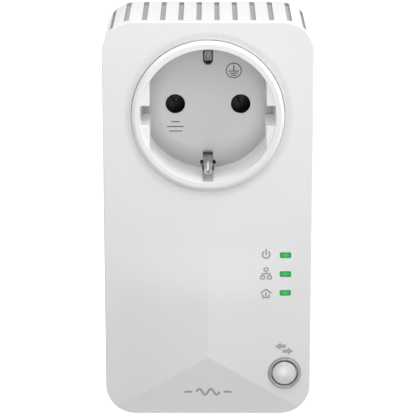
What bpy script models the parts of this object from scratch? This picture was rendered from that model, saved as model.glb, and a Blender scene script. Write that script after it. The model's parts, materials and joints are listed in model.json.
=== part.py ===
"""Powerline adapter with a pass-through socket, as an assembly of separate pieces.

Frame: origin at the centre of the plug's end face. +X is to the right seen from the front,
+Y points to the wall and +Z up. Sizes below are millimetres; meshes are made in metres.
"""
import math

import bmesh
import bpy
from mathutils import Matrix, Vector

MM = 0.001
GAP = 0.3                    # clearance between neighbouring pieces
FINE_GAP = 0.2               # clearance around the small trim

# Housing
WIDTH = 60.0
HEIGHT = 117.5
CORNER_R = 8.8
TOP_Z = 27.1                 # height of the top edge over the socket's axis
BOTTOM_Z = TOP_Z - HEIGHT
MID_Z = (TOP_Z + BOTTOM_Z) / 2
PLATE_Y = -48.0              # front plate's face
PARTING_Y = -44.5            # where the front cover meets the rear housing
REAR_Y = -16.0               # housing's flat back
DRAFT = 0.1                  # how much the housing narrows on each side towards its back
PLATE_T = 2.2
WALL_T = 2.0
COVER_EDGE_R = 1.0           # rounding along the front cover's rim
INNER_BACK_Y = REAR_Y - 1.2   # inner face of the housing's thinner back

# Folded front: a ridge down the middle ends in an apex, with creases to the lower corners
FOLD_RISE = 1.8
FOLD_TOP_Z = -37.9
RIDGE_Z = -55.0
APEX_Z = -72.2
FOLD_RIM = [(-27.0, -50.0), (-26.6, -87.6), (26.6, -87.6), (27.0, -50.0)]

# Vents: grooves over the top, each with an undercut opening at its rear end
VENT_W = 1.5
VENT_DEPTH = 0.75
VENT_END_Y = -17.6
VENT_PITCH = 5.137
VENT_OUTER_X = 27.4          # the last pair sits closer, low on the corner's arc
VENT_OPENING_Y = (-18.6, INNER_BACK_Y)

# Socket insert
RING_Y = -49.0
RING_R = 21.8
RECESS_R = 19.4
RECESS_DEPTH = 16.0
FLOOR_Y = RING_Y + RECESS_DEPTH
FLOOR_T = 2.5
WELL_R = 21.4
RING_EDGE_R = 20.95          # where the ring's face turns into its chamfer
RIB_X = 16.65                # flat inner faces of the side ribs
RIB_Z = 10.05
RIB_NOTCH_Z = 2.9
RIB_DROP = 0.8               # ribs end this far behind the ring's face
RIB_BACK_R = 20.4            # ribs run this far into the wall
WELL_NECK_Y = -45.0          # the insert narrows here, behind the front plate
INSERT_SCREWS = [(15.5, 7.5), (-15.5, -7.5)]
INSERT_BOSS_R = 2.6
PIN_X = 9.5
PIN_HOLE_R = 2.85
MOAT_R = 24.6                # outer edge of the shallow dip around the ring
MOAT_DEPTH = 0.4

# Carrier, shutter and contacts behind the insert
CARRIER_Y = (-27.4, -24.9)
CARRIER_R = 19.3
CARRIER_END_Y = -14.0        # its two towers reach this far towards the plug
TOWER_BORE_R = 3.5
SHUTTER_Y = (-30.0, -28.2)
SHUTTER_REACH = 13.0
SHUTTER_HUB_R = 3.6
SHUTTER_HALF_ANGLE = 19.0
AXLE_R = 1.4
AXLE_Y = (-28.6, -25.4)
SLEEVE_R = (2.5, 3.2)
SLEEVE_Y = (-27.1, -13.5)

# Earth clips and their strap, heights measured from the socket's axis
CLIP_SLOT_W = 2.85
CLIP_SLOT_Z = (11.6, 20.5)
CLIP_EAR_W = 4.5             # the slot widens beside the clip's foot
CLIP_EAR_Z = (16.9, 18.2)
CLIP_W = 2.0
CLIP_T = 0.5
CLIP_PIVOT_Z = 18.9
CLIP_PIVOT_Y = -29.9
CLIP_TIP = [(18.2, -44.5), (15.3, -42.6), (15.0, -41.6), (15.1, -31.0), (15.9, -30.1)]
STRAP_Z = 19.95
STRAP_W = 2.3
STRAP_T = 0.4
STRAP_Y = (-47.6, -24.2)

# Plug
PLUG_R = 18.6
PLUG_FLAT_X = 16.3
PLUG_FLAT_Z = 8.9
PLUG_RIB_Z = 2.5
PLUG_END_SCALE = 0.965       # the end face is this much smaller than the body
PLUG_BACK_Y = -20.5
PLUG_BORE_R = 15.0
PLUG_END_T = 3.0
FLANGE_R = 22.3
FLANGE_FRONT_Y = -21.8
PIN_R = 2.4
PIN_LENGTH = 19.0
PIN_BACK_Y = -12.1
PIN_COLLAR_R = 3.6
PIN_COLLAR_Y = (-4.9, -3.3)
EARTH_GROOVE_Z = 16.65
EARTH_GROOVE_W = 6.2
EARTH_STRIP_Z = (16.95, 17.55)
EARTH_STRIP_W = 5.6
EARTH_STRIP_Y = (-23.5, -1.0)
BUSBAR_W = 5.0
BUSBAR_T = 0.8
BUSBAR_Y = -12.8
BUSBAR_BACK_Y = -23.4

# Controls
CONTROL_X = 22.47
LED_Z = {"power": -41.45, "network": -47.14, "lan": -52.82}
WINDOW_W = 3.2
WINDOW_H = 1.65
BUTTON_Z = -77.62
BEZEL_R = 4.8
BEZEL_Y = -48.85
CAP_R = 3.55
CAP_Y = -49.3
CAP_FLANGE_R = 4.4           # keeps the cap behind its bezel
CAP_FLANGE_Y = (-46.5, -45.3)
SWITCH_W = 6.0
SWITCH_Y = (-43.7, -40.2)
PLUNGER_R = 1.7
PLUNGER_Y = (-45.0, -43.2)

# Boards
MAIN_BOARD_Y = (-40.0, -38.8)
POWER_BOARD_Y = (-22.8, -21.2)
SCREW_X = 23.4
SCREW_Z = (14.0, -84.0)
SCREW_BORE_R = 1.45
HEAD_SEAT_Y = -30.2
BOSS_R = 2.6
BOSS_BACK_Y = -32.3
TOWER_R = 3.1
TOWER_FRONT_Y = -32.0

# Rating label
LABEL_W = 31.4
LABEL_H = 24.4
LABEL_Z = -62.7
LABEL_RECESS = 0.4

# RJ45 jack
JACK_X = -12.0
JACK_W = 16.0
JACK_Y = (-38.5, -25.0)
JACK_Z = (-89.6, -68.6)


# ---------------------------------------------------------------- materials

COLOURS = {
    "white_shell": ((0.80, 0.80, 0.80), 0.42, 0.0),
    "socket_plastic": ((0.78, 0.78, 0.78), 0.38, 0.0),
    "carrier_plastic": ((0.62, 0.62, 0.60), 0.55, 0.0),
    "shutter_black": ((0.02, 0.02, 0.02), 0.40, 0.0),
    "contact_steel": ((0.60, 0.60, 0.60), 0.28, 1.0),
    "brass": ((0.78, 0.58, 0.28), 0.32, 1.0),
    "nickel": ((0.70, 0.68, 0.64), 0.22, 1.0),
    "screw_steel": ((0.45, 0.45, 0.45), 0.35, 1.0),
    "window_green": ((0.05, 0.60, 0.18), 0.25, 0.0),
    "led_body": ((0.85, 0.85, 0.75), 0.35, 0.0),
    "button_satin": ((0.62, 0.63, 0.64), 0.30, 0.6),
    "bezel_grey": ((0.38, 0.39, 0.40), 0.35, 0.2),
    "board_green": ((0.03, 0.20, 0.08), 0.45, 0.0),
    "chip_black": ((0.03, 0.03, 0.03), 0.50, 0.0),
    "aluminium": ((0.65, 0.66, 0.67), 0.35, 1.0),
    "capacitor_sleeve": ((0.03, 0.05, 0.12), 0.35, 0.0),
    "film_yellow": ((0.75, 0.60, 0.10), 0.40, 0.0),
    "varistor_blue": ((0.05, 0.12, 0.45), 0.45, 0.0),
    "ferrite": ((0.08, 0.08, 0.09), 0.55, 0.0),
    "tape_yellow": ((0.80, 0.65, 0.15), 0.45, 0.0),
    "glass": ((0.75, 0.78, 0.78), 0.10, 0.0),
    "label_silver": ((0.70, 0.71, 0.72), 0.50, 0.0),
}


def material(name):
    """Principled material of one of the named finishes."""
    found = bpy.data.materials.get(name)
    if found:
        return found
    colour, roughness, metallic = COLOURS[name]
    made = bpy.data.materials.new(name)
    made.use_nodes = True
    shader = made.node_tree.nodes["Principled BSDF"]
    shader.inputs["Base Color"].default_value = (*colour, 1.0)
    shader.inputs["Roughness"].default_value = roughness
    shader.inputs["Metallic"].default_value = metallic
    made.diffuse_color = (*colour, 1.0)
    return made


# ---------------------------------------------------------------- helpers

def clear_scene():
    for item in list(bpy.data.objects):
        bpy.data.objects.remove(item, do_unlink=True)


def add_object(name, bm, finish=None, origin=(0.0, 0.0, 0.0), smooth=True):
    """Turn a bmesh in millimetres into an object in metres with its origin at the given point."""
    bmesh.ops.recalc_face_normals(bm, faces=bm.faces)
    bm.transform(Matrix.Scale(MM, 4) @ Matrix.Translation(-Vector(origin)))
    mesh = bpy.data.meshes.new(name)
    bm.to_mesh(mesh)
    bm.free()
    if smooth:
        mesh.shade_smooth()
        mesh.set_sharp_from_angle(angle=math.radians(35))
    item = bpy.data.objects.new(name, mesh)
    item.location = Vector(origin) * MM
    bpy.context.collection.objects.link(item)
    if finish:
        mesh.materials.append(material(finish))
    return item


def copy_object(source, name, origin):
    """A second object on the same mesh, moved to another place in millimetres."""
    item = bpy.data.objects.new(name, source.data)
    item.location = Vector(origin) * MM
    bpy.context.collection.objects.link(item)
    return item


def boolean(target, bm, operation):
    """Cut or join a helper mesh, which stays in the scene as a wire guide."""
    guide = add_object(f"guide_{target.name}", bm, smooth=False)
    guide.hide_render = True
    guide.display_type = "WIRE"
    modifier = target.modifiers.new(operation.lower(), "BOOLEAN")
    modifier.operation = operation
    modifier.object = guide


def cut(target, bm):
    boolean(target, bm, "DIFFERENCE")


def join(target, bm):
    boolean(target, bm, "UNION")


def bevel(target, width, segments=2, angle=40.0):
    modifier = target.modifiers.new("bevel", "BEVEL")
    modifier.width = width * MM
    modifier.segments = segments
    modifier.limit_method = "ANGLE"
    modifier.angle_limit = math.radians(angle)


def arc(cx, cz, radius, start, end, steps):
    """Points on an arc in the XZ plane, angles in degrees."""
    points = []
    for step in range(steps + 1):
        angle = math.radians(start + (end - start) * step / steps)
        points.append((cx + radius * math.cos(angle), cz + radius * math.sin(angle)))
    return points


def circle(cx, cz, radius, steps):
    return arc(cx, cz, radius, 0, 360, steps)[:-1]


def rounded_rect(width, height, radius, cx=0.0, cz=0.0, steps=6):
    """Outline of a rounded rectangle in the XZ plane, counter-clockwise."""
    x = width / 2 - radius
    z = height / 2 - radius
    points = []
    for sx, sz, start in ((1, 1, 0), (-1, 1, 90), (-1, -1, 180), (1, -1, 270)):
        points += arc(cx + sx * x, cz + sz * z, radius, start, start + 90, steps)
    return points


def loft(bm, sections):
    """Closed body through outlines [(y, points), ...] with equal numbers of points."""
    rings = [[bm.verts.new((x, y, z)) for x, z in points] for y, points in sections]
    count = len(rings[0])
    for lower, upper in zip(rings, rings[1:]):
        for i in range(count):
            j = (i + 1) % count
            bm.faces.new((lower[i], lower[j], upper[j], upper[i]))
    bm.faces.new(rings[0])
    bm.faces.new(rings[-1][::-1])
    return bm


def prism(outline, y0, y1, bm=None):
    """Outline in the XZ plane pulled along Y."""
    return loft(bm or bmesh.new(), [(y0, outline), (y1, outline)])


def block(x0, x1, y0, y1, z0, z1, bm=None):
    return prism([(x0, z0), (x1, z0), (x1, z1), (x0, z1)], y0, y1, bm)


def rod(cx, cz, radius, y0, y1, steps=24, bm=None):
    """Cylinder along Y."""
    return prism(circle(cx, cz, radius, steps), y0, y1, bm)


def turned(profile, cx=0.0, cz=0.0, steps=24, closed=False, bm=None):
    """Body turned about an axis along Y from (radius, y) points.

    Its ends are flat discs, unless closed joins the last point to the first as on a ring.
    """
    bm = bm or bmesh.new()
    rings = []
    for radius, y in profile:
        rings.append([bm.verts.new((x, y, z)) for x, z in circle(cx, cz, radius, steps)])
    pairs = list(zip(rings, rings[1:]))
    if closed:
        pairs.append((rings[-1], rings[0]))
    else:
        bm.faces.new(rings[0])
        bm.faces.new(rings[-1][::-1])
    for first, second in pairs:
        for i in range(steps):
            j = (i + 1) % steps
            bm.faces.new((first[i], first[j], second[j], second[i]))
    return bm


def turned_along(axis_turn, centre, profile, steps=20):
    """Turned body in a local frame, then turned to another axis and moved to its centre."""
    bm = turned(profile, steps=steps)
    bm.transform(Matrix.Translation(Vector(centre)) @ axis_turn)
    return bm


def strip(path, width, thickness, x=0.0):
    """Flat metal strip across X that follows (z, y) points on its centre line."""
    left, right = [], []
    for i, (z, y) in enumerate(path):
        before = Vector(path[max(i - 1, 0)])
        after = Vector(path[min(i + 1, len(path) - 1)])
        along = (after - before).normalized()
        side = Vector((-along.y, along.x)) * thickness / 2
        left.append((z + side.x, y + side.y))
        right.append((z - side.x, y - side.y))
    outline = left + right[::-1]
    bm = bmesh.new()
    near = [bm.verts.new((x - width / 2, y, z)) for z, y in outline]
    far = [bm.verts.new((x + width / 2, y, z)) for z, y in outline]
    count = len(outline)
    last = len(path) - 1
    for i in range(count):
        j = (i + 1) % count
        bm.faces.new((near[i], near[j], far[j], far[i]))
    for i in range(last):
        bm.faces.new((near[i], near[i + 1], near[count - 2 - i], near[count - 1 - i]))
        bm.faces.new((far[i + 1], far[i], far[count - 1 - i], far[count - 2 - i]))
    return bm


# ---------------------------------------------------------------- housing

def housing_outline(inset, steps=6):
    """The housing's rounded outline, pulled in by an inset."""
    return rounded_rect(WIDTH - 2 * inset, HEIGHT - 2 * inset, CORNER_R - inset, 0, MID_Z, steps)


def screw_places():
    return [(sx * SCREW_X, z) for z in SCREW_Z for sx in (-1, 1)]


def fold_body():
    """The folded facets as a thin body that is joined to the flat plate."""
    bm = bmesh.new()
    high_y = PLATE_Y - FOLD_RISE
    rim = [(0.0, FOLD_TOP_Z)] + FOLD_RIM
    front = [bm.verts.new((x, PLATE_Y, z)) for x, z in rim]
    back = [bm.verts.new((x, PLATE_Y + PLATE_T / 4, z)) for x, z in rim]
    ridge = bm.verts.new((0, high_y, RIDGE_Z))
    apex = bm.verts.new((0, high_y, APEX_Z))
    top, left_top, left_low, right_low, right_top = front
    for triangle in ((top, left_top, ridge), (left_top, left_low, apex), (left_top, apex, ridge),
                     (left_low, right_low, apex), (right_low, right_top, apex),
                     (right_top, ridge, apex), (right_top, top, ridge)):
        bm.faces.new(triangle)
    count = len(rim)
    for i in range(count):
        j = (i + 1) % count
        bm.faces.new((front[i], front[j], back[j], back[i]))
    bm.faces.new(back)
    return bm


def make_front_cover():
    sections = [(PARTING_Y - GAP, housing_outline(0))]
    for step in range(4):
        angle = math.radians(30 * step)
        inset = COVER_EDGE_R * (1 - math.cos(angle))
        y = PLATE_Y + COVER_EDGE_R * (1 - math.sin(angle))
        sections.append((y, housing_outline(inset)))
    cover = add_object("front_cover", loft(bmesh.new(), sections), "white_shell")
    join(cover, fold_body())

    # Pocket behind the plate, with bosses for the housing screws
    cut(cover, prism(housing_outline(WALL_T), PLATE_Y + PLATE_T, PARTING_Y + 1))
    bosses = bmesh.new()
    for x, z in screw_places():
        rod(x, z, BOSS_R, PLATE_Y + PLATE_T / 2, BOSS_BACK_Y, 20, bosses)
    join(cover, bosses)

    # Openings: socket with its dip, windows, button and screw bores
    over = PLATE_Y - FOLD_RISE - 1
    under = PLATE_Y + 2 * PLATE_T
    cut(cover, rod(0, 0, RING_R + GAP, over, under, 72))
    dip = turned([(RING_R, PLATE_Y + MOAT_DEPTH), (RING_R, over), (MOAT_R, over),
                  (MOAT_R, PLATE_Y), ((RING_R + MOAT_R) / 2, PLATE_Y + MOAT_DEPTH / 4)],
                 steps=72, closed=True)
    cut(cover, dip)
    holes = bmesh.new()
    half_w = WINDOW_W / 2 + FINE_GAP
    half_h = WINDOW_H / 2 + FINE_GAP
    for z in LED_Z.values():
        block(CONTROL_X - half_w, CONTROL_X + half_w, over, under, z - half_h, z + half_h, holes)
    rod(CONTROL_X, BUTTON_Z, BEZEL_R + FINE_GAP, over, under, 32, holes)
    for x, z in screw_places():
        rod(x, z, SCREW_BORE_R, MAIN_BOARD_Y[0] - 1.5, BOSS_BACK_Y + 1, 16, holes)
    cut(cover, holes)


def vent_places():
    """Slot centres across the width: an even pitch, closed up at the corners."""
    places = [VENT_PITCH * (i + 0.5) for i in range(5)] + [VENT_OUTER_X]
    return [-x for x in reversed(places)] + places


def vent_cutter(x):
    """Groove and opening of one vent, square to the surface it is cut from."""
    corner_x = WIDTH / 2 - CORNER_R
    lean = math.asin(max(0.0, abs(x) - corner_x) / CORNER_R)
    surface = CORNER_R
    floor = surface - VENT_DEPTH
    front_y, back_y = VENT_OPENING_Y
    outline = [(PARTING_Y - 1, surface + 1), (VENT_END_Y, surface + 1), (VENT_END_Y, surface),
               (back_y, floor), (back_y, surface - 2 * WALL_T), (front_y, surface - 2 * WALL_T),
               (front_y, floor), (PARTING_Y - 1, floor)]
    bm = bmesh.new()
    sides = []
    for side_x in (-VENT_W / 2, VENT_W / 2):
        sides.append([bm.verts.new((side_x, y, r)) for y, r in outline])
    near, far = sides
    for i in range(len(outline)):
        j = (i + 1) % len(outline)
        bm.faces.new((near[i], near[j], far[j], far[i]))
    bm.faces.new(near)
    bm.faces.new(far[::-1])
    turn = Matrix.Rotation(math.copysign(lean, x), 4, "Y")
    base = (math.copysign(min(abs(x), corner_x), x), 0, TOP_Z - CORNER_R)
    bm.transform(Matrix.Translation(base) @ turn)
    return bm


def make_rear_housing():
    sections = [(PARTING_Y, housing_outline(0)), (REAR_Y - 0.6, housing_outline(DRAFT)),
                (REAR_Y - 0.2, housing_outline(DRAFT + 0.15)),
                (REAR_Y, housing_outline(DRAFT + 0.6))]
    housing = add_object("rear_housing", loft(bmesh.new(), sections), "white_shell")
    cut(housing, loft(bmesh.new(), [(PARTING_Y - 1, housing_outline(WALL_T)),
                                    (INNER_BACK_Y, housing_outline(DRAFT + WALL_T))]))

    # Screw towers, open to the back
    towers = bmesh.new()
    wells = bmesh.new()
    shank_r = SCREW_BORE_R + 0.15
    for x, z in screw_places():
        rod(x, z, TOWER_R, TOWER_FRONT_Y, REAR_Y - 0.5, 20, towers)
        turned([(shank_r, TOWER_FRONT_Y - 1), (shank_r, HEAD_SEAT_Y), (BOSS_R, HEAD_SEAT_Y),
                (BOSS_R, REAR_Y + 1)], x, z, 20, bm=wells)
    join(housing, towers)
    cut(housing, wells)

    vents = bmesh.new()
    for x in vent_places():
        slot = vent_cutter(x)
        mesh = bpy.data.meshes.new("vent")
        slot.to_mesh(mesh)
        slot.free()
        vents.from_mesh(mesh)
        bpy.data.meshes.remove(mesh)
    cut(housing, vents)

    # Plug opening, network jack opening and the shallow place for the label
    openings = bmesh.new()
    rod(0, 0, PLUG_R + GAP, REAR_Y - 2 * WALL_T, REAR_Y + 1, 48, openings)
    block(JACK_X - JACK_W / 2 - GAP, JACK_X + JACK_W / 2 + GAP, JACK_Y[0] - GAP,
          JACK_Y[1] + GAP, BOTTOM_Z - 1, BOTTOM_Z + 5, openings)
    half_w = LABEL_W / 2 + GAP
    half_h = LABEL_H / 2 + GAP
    block(-half_w, half_w, REAR_Y - LABEL_RECESS, REAR_Y + 1, LABEL_Z - half_h, LABEL_Z + half_h,
          openings)
    cut(housing, openings)


# ---------------------------------------------------------------- socket insert

def rib_outline(sx, sz):
    """One half of a side rib: flat towards the axis, round where it meets the wall."""
    low = math.degrees(math.asin(RIB_NOTCH_Z / RIB_BACK_R))
    high = math.degrees(math.asin(RIB_Z / RIB_BACK_R))
    points = [(RIB_X, RIB_Z), (RIB_X, RIB_NOTCH_Z)] + arc(0, 0, RIB_BACK_R, low, high, 5)
    return [(sx * x, sz * z) for x, z in points]


def make_socket_well():
    floor_back = FLOOR_Y + FLOOR_T
    profile = [(RECESS_R, FLOOR_Y), (RECESS_R, RING_Y), (RING_EDGE_R, RING_Y),
               (RING_R, RING_Y + 0.9), (RING_R, WELL_NECK_Y), (WELL_R, WELL_NECK_Y),
               (WELL_R, floor_back)]
    well = add_object("socket_well", turned(profile, steps=72), "socket_plastic")

    extras = bmesh.new()
    for sx in (-1, 1):
        for sz in (-1, 1):
            prism(rib_outline(sx, sz), RING_Y + RIB_DROP, FLOOR_Y + 0.5, extras)
    for x, z in INSERT_SCREWS:
        rod(x, z, INSERT_BOSS_R, FLOOR_Y + 1, CARRIER_Y[0] - GAP, 20, extras)
    join(well, extras)

    openings = bmesh.new()
    for sx in (-1, 1):
        rod(sx * PIN_X, 0, PIN_HOLE_R, FLOOR_Y - 2, FLOOR_Y + 6, 28, openings)
    for x, z in INSERT_SCREWS:
        rod(x, z, 1.2, FLOOR_Y + 0.8, CARRIER_Y[0] + 0.4, 16, openings)
    cut(well, openings)
    slots = bmesh.new()
    for side in (-1, 1):
        low, high = sorted(side * z for z in CLIP_SLOT_Z)
        block(-CLIP_SLOT_W / 2, CLIP_SLOT_W / 2, RING_Y + RIB_DROP, FLOOR_Y + 6, low, high, slots)
    cut(well, slots)
    ears = bmesh.new()
    for side in (-1, 1):
        low, high = sorted(side * z for z in CLIP_EAR_Z)
        block(-CLIP_EAR_W / 2, CLIP_EAR_W / 2, FLOOR_Y - 1, FLOOR_Y + 6, low, high, ears)
    cut(well, ears)


def make_socket_carrier():
    front_y, back_y = CARRIER_Y
    base = rod(0, 0, CARRIER_R, front_y, back_y, 48)
    carrier = add_object("socket_carrier", base, "carrier_plastic")
    towers = bmesh.new()
    for sx in (-1, 1):
        rod(sx * PIN_X, 0, TOWER_BORE_R + 1.7, front_y + 1, CARRIER_END_Y, 28, towers)
    for angle in (40, 140, 220, 320):
        (x, z), = arc(0, 0, CARRIER_R - 1.3, angle, angle, 1)[:1]
        rod(x, z, 1.3, front_y + 1, FLANGE_FRONT_Y - GAP, 14, towers)
    join(carrier, towers)
    bores = bmesh.new()
    for sx in (-1, 1):
        rod(sx * PIN_X, 0, TOWER_BORE_R, front_y - 3, CARRIER_END_Y + 1, 28, bores)
    for x, z in INSERT_SCREWS:
        rod(x, z, 1.3, front_y - 3, back_y + 5, 16, bores)
    turned([(3.1, front_y - 1), (3.1, front_y + 1.2), (AXLE_R + GAP, front_y + 1.2),
            (AXLE_R + GAP, back_y + 1)], steps=24, bm=bores)
    cut(carrier, bores)
    notches = bmesh.new()
    for side in (-1, 1):
        low, high = sorted((side * (CLIP_PIVOT_Z - 4.9), side * (CARRIER_R + 1.7)))
        block(-1.8, 1.8, front_y - 2, back_y + 1, low, high, notches)
    cut(carrier, notches)


def make_shutter():
    """Two black arms behind the pin holes that swing aside together about the socket's axis."""
    outline = []
    for start in (0, 180):
        outline += arc(0, 0, SHUTTER_REACH, start - SHUTTER_HALF_ANGLE,
                       start + SHUTTER_HALF_ANGLE, 6)
        outline += arc(0, 0, SHUTTER_HUB_R, start + 40, start + 140, 4)
    shutter = add_object("safety_shutter", prism(outline, *SHUTTER_Y), "shutter_black")
    join(shutter, rod(0, 0, AXLE_R, *AXLE_Y, 16))


def make_shutter_spring():
    turns, steps, radius = 2.0, 18, 2.4
    wire = bpy.data.curves.new("shutter_spring", "CURVE")
    wire.dimensions = "3D"
    wire.bevel_depth = 0.2 * MM
    wire.bevel_resolution = 1
    wire.use_fill_caps = True
    line = wire.splines.new("POLY")
    count = int(turns * steps)
    line.points.add(count)
    for i in range(count + 1):
        angle = 2 * math.pi * i / steps
        y = -27.85 + 1.3 * i / count
        line.points[i].co = (radius * math.cos(angle) * MM, y * MM, radius * math.sin(angle) * MM, 1)
    item = bpy.data.objects.new("shutter_spring", wire)
    bpy.context.collection.objects.link(item)
    wire.materials.append(material("contact_steel"))


def make_earth_parts():
    """Two sprung contact fingers and the strap that joins them behind the insert."""
    for name, side in (("earth_clip_upper", 1), ("earth_clip_lower", -1)):
        pivot = (0, CLIP_PIVOT_Y, side * CLIP_PIVOT_Z)
        path = CLIP_TIP + [(CLIP_PIVOT_Z, CLIP_PIVOT_Y)]
        finger = strip([(side * z, y) for z, y in path], CLIP_W, CLIP_T)
        add_object(name, finger, "contact_steel", pivot, smooth=False)
    front_y, back_y = STRAP_Y
    path = [(STRAP_Z, front_y), (STRAP_Z, back_y), (-STRAP_Z, back_y), (-STRAP_Z, front_y)]
    strap = strip(mitred(path), STRAP_W, STRAP_T)
    add_object("earth_bridge", strap, "contact_steel", smooth=False)


def make_sleeves():
    for name, sx in (("line_sleeve", -1), ("neutral_sleeve", 1)):
        profile = [(SLEEVE_R[0], SLEEVE_Y[0]), (SLEEVE_R[1], SLEEVE_Y[0]),
                   (SLEEVE_R[1], SLEEVE_Y[1]), (SLEEVE_R[0], SLEEVE_Y[1])]
        add_object(name, turned(profile, sx * PIN_X, 0, 24, closed=True), "brass")


def make_insert_screws():
    profile = [(0.7, -31.6), (1.0, -31.0), (1.0, -24.6), (2.1, -24.6), (2.1, -23.9), (1.4, -23.4)]
    first = None
    for number, (x, z) in enumerate(INSERT_SCREWS, 1):
        name = f"insert_screw_{number}"
        if first:
            copy_object(first, name, (x, 0, z))
        else:
            first = add_object(name, turned(profile, steps=16), "screw_steel")
            first.location = Vector((x, 0, z)) * MM


# ---------------------------------------------------------------- plug

def plug_outline():
    """Round body with a flat and a narrow guide rib on each side."""
    limit = math.degrees(math.asin(PLUG_FLAT_Z / PLUG_R))
    right = [(PLUG_FLAT_X, -PLUG_FLAT_Z), (PLUG_FLAT_X, -PLUG_RIB_Z), (PLUG_R, -PLUG_RIB_Z),
             (PLUG_R, PLUG_RIB_Z), (PLUG_FLAT_X, PLUG_RIB_Z), (PLUG_FLAT_X, PLUG_FLAT_Z)]
    left = [(-x, -z) for x, z in right]
    top = arc(0, 0, PLUG_R, limit, 180 - limit, 16)
    bottom = arc(0, 0, PLUG_R, 180 + limit, 360 - limit, 16)
    return right + top + left + bottom


def make_plug_body():
    outline = plug_outline()
    small = [(x * PLUG_END_SCALE, z * PLUG_END_SCALE) for x, z in outline]
    sections = [(PLUG_BACK_Y, outline), (-0.7, outline), (0.0, small)]
    body = add_object("plug_body", loft(bmesh.new(), sections), "socket_plastic")
    join(body, rod(0, 0, FLANGE_R, FLANGE_FRONT_Y, INNER_BACK_Y - GAP, 48))
    cut(body, rod(0, 0, PLUG_BORE_R, FLANGE_FRONT_Y - 1, -PLUG_END_T, 40))
    pin_holes = bmesh.new()
    for sx in (-1, 1):
        rod(sx * PIN_X, 0, PIN_R + GAP, -PLUG_END_T - 1, 2, 24, pin_holes)
    cut(body, pin_holes)
    grooves = bmesh.new()
    half_w = EARTH_GROOVE_W / 2
    for side in (-1, 1):
        low, high = sorted((side * EARTH_GROOVE_Z, side * (FLANGE_R + 2)))
        block(-half_w, half_w, FLANGE_FRONT_Y - 1, -0.6, low, high, grooves)
    cut(body, grooves)


def make_plug_metal():
    collar_back, collar_front = PIN_COLLAR_Y
    pin = [(PIN_R, PIN_BACK_Y), (PIN_R, collar_back), (PIN_COLLAR_R, collar_back),
           (PIN_COLLAR_R, collar_front), (PIN_R, collar_front), (PIN_R, PIN_LENGTH - 2.2),
           (2.2, PIN_LENGTH - 1.2), (1.5, PIN_LENGTH - 0.35), (0.7, PIN_LENGTH)]
    for name, sx in (("line_pin", -1), ("neutral_pin", 1)):
        add_object(name, turned(pin, sx * PIN_X, 0, 24), "nickel")
    for name, side in (("plug_earth_strip_upper", 1), ("plug_earth_strip_lower", -1)):
        low, high = sorted(side * z for z in EARTH_STRIP_Z)
        half_w = EARTH_STRIP_W / 2
        contact = block(-half_w, half_w, *EARTH_STRIP_Y, low, high)
        bevel(add_object(name, contact, "contact_steel"), 0.15, 1)
    for name, sx in (("line_busbar", -1), ("neutral_busbar", 1)):
        path = [(2.6, BUSBAR_Y), (-6.0, BUSBAR_Y), (-6.0, BUSBAR_BACK_Y), (-31.0, BUSBAR_BACK_Y)]
        bar = strip(mitred(path), BUSBAR_W, BUSBAR_T, sx * PIN_X)
        add_object(name, bar, "brass", smooth=False)


def mitred(path):
    """Replace each square corner of a path by a short chamfer."""
    size = 0.6
    points = [path[0]]
    for before, corner, after in zip(path, path[1:], path[2:]):
        here = Vector(corner)
        points.append(tuple(here + (Vector(before) - here).normalized() * size))
        points.append(tuple(here + (Vector(after) - here).normalized() * size))
    return points + [path[-1]]


# ---------------------------------------------------------------- controls

def make_windows():
    for label, z in LED_Z.items():
        outline = rounded_rect(WINDOW_W, WINDOW_H, 0.3, CONTROL_X, z, 3)
        add_object(f"{label}_window", prism(outline, PLATE_Y, -41.2), "window_green")
        led = block(CONTROL_X - 0.8, CONTROL_X + 0.8, -41.0, -40.2, z - 0.5, z + 0.5)
        add_object(f"{label}_led", led, "led_body")


def make_button():
    pivot = (CONTROL_X, PLATE_Y, BUTTON_Z)
    flange_front, flange_back = CAP_FLANGE_Y
    cap = turned([(1.2, CAP_Y), (2.4, CAP_Y + 0.14), (3.2, CAP_Y + 0.35), (CAP_R, CAP_Y + 0.7),
                  (CAP_R, flange_front), (CAP_FLANGE_R, flange_front),
                  (CAP_FLANGE_R, flange_back)], CONTROL_X, BUTTON_Z, 32)
    add_object("pair_button", cap, "button_satin", pivot)
    inner_r = CAP_R + FINE_GAP
    ring = turned([(inner_r, BEZEL_Y + 0.45), (inner_r + 0.2, BEZEL_Y + 0.1), (4.3, BEZEL_Y),
                   (4.65, BEZEL_Y + 0.15), (BEZEL_R, BEZEL_Y + 0.55), (BEZEL_R, -46.8),
                   (inner_r, -46.8)], CONTROL_X, BUTTON_Z, 32, closed=True)
    add_object("button_bezel", ring, "bezel_grey")
    plunger = rod(CONTROL_X, BUTTON_Z, PLUNGER_R, *PLUNGER_Y, 16)
    add_object("switch_plunger", plunger, "chip_black", pivot)
    half = SWITCH_W / 2
    body = block(CONTROL_X - half, CONTROL_X + half, *SWITCH_Y, BUTTON_Z - half, BUTTON_Z + half)
    switch = add_object("tact_switch", body, "chip_black")
    cut(switch, rod(CONTROL_X, BUTTON_Z, PLUNGER_R + 0.25, SWITCH_Y[0] - 1, SWITCH_Y[0] + 1.5, 16))


# ---------------------------------------------------------------- electronics

def board(name, y_range, half_width, top, shoulder, tongue_half, bottom):
    """Board whose lower corners are cut away around the screw bosses."""
    outline = [(-half_width, top), (-half_width, shoulder), (-tongue_half, shoulder),
               (-tongue_half, bottom), (tongue_half, bottom), (tongue_half, shoulder),
               (half_width, shoulder), (half_width, top)]
    return add_object(name, prism(outline, *y_range), "board_green", smooth=False)


def make_boards():
    board("main_board", MAIN_BOARD_Y, 27.0, -25.5, -80.9, 20.5, -87.8)
    board("power_board", POWER_BOARD_Y, 26.8, -27.0, -79.8, 19.5, -87.0)
    header = block(-26.0, -23.5, MAIN_BOARD_Y[1] + GAP, POWER_BOARD_Y[0] - GAP, -75, -60)
    add_object("board_header", header, "chip_black", smooth=False)


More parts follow.
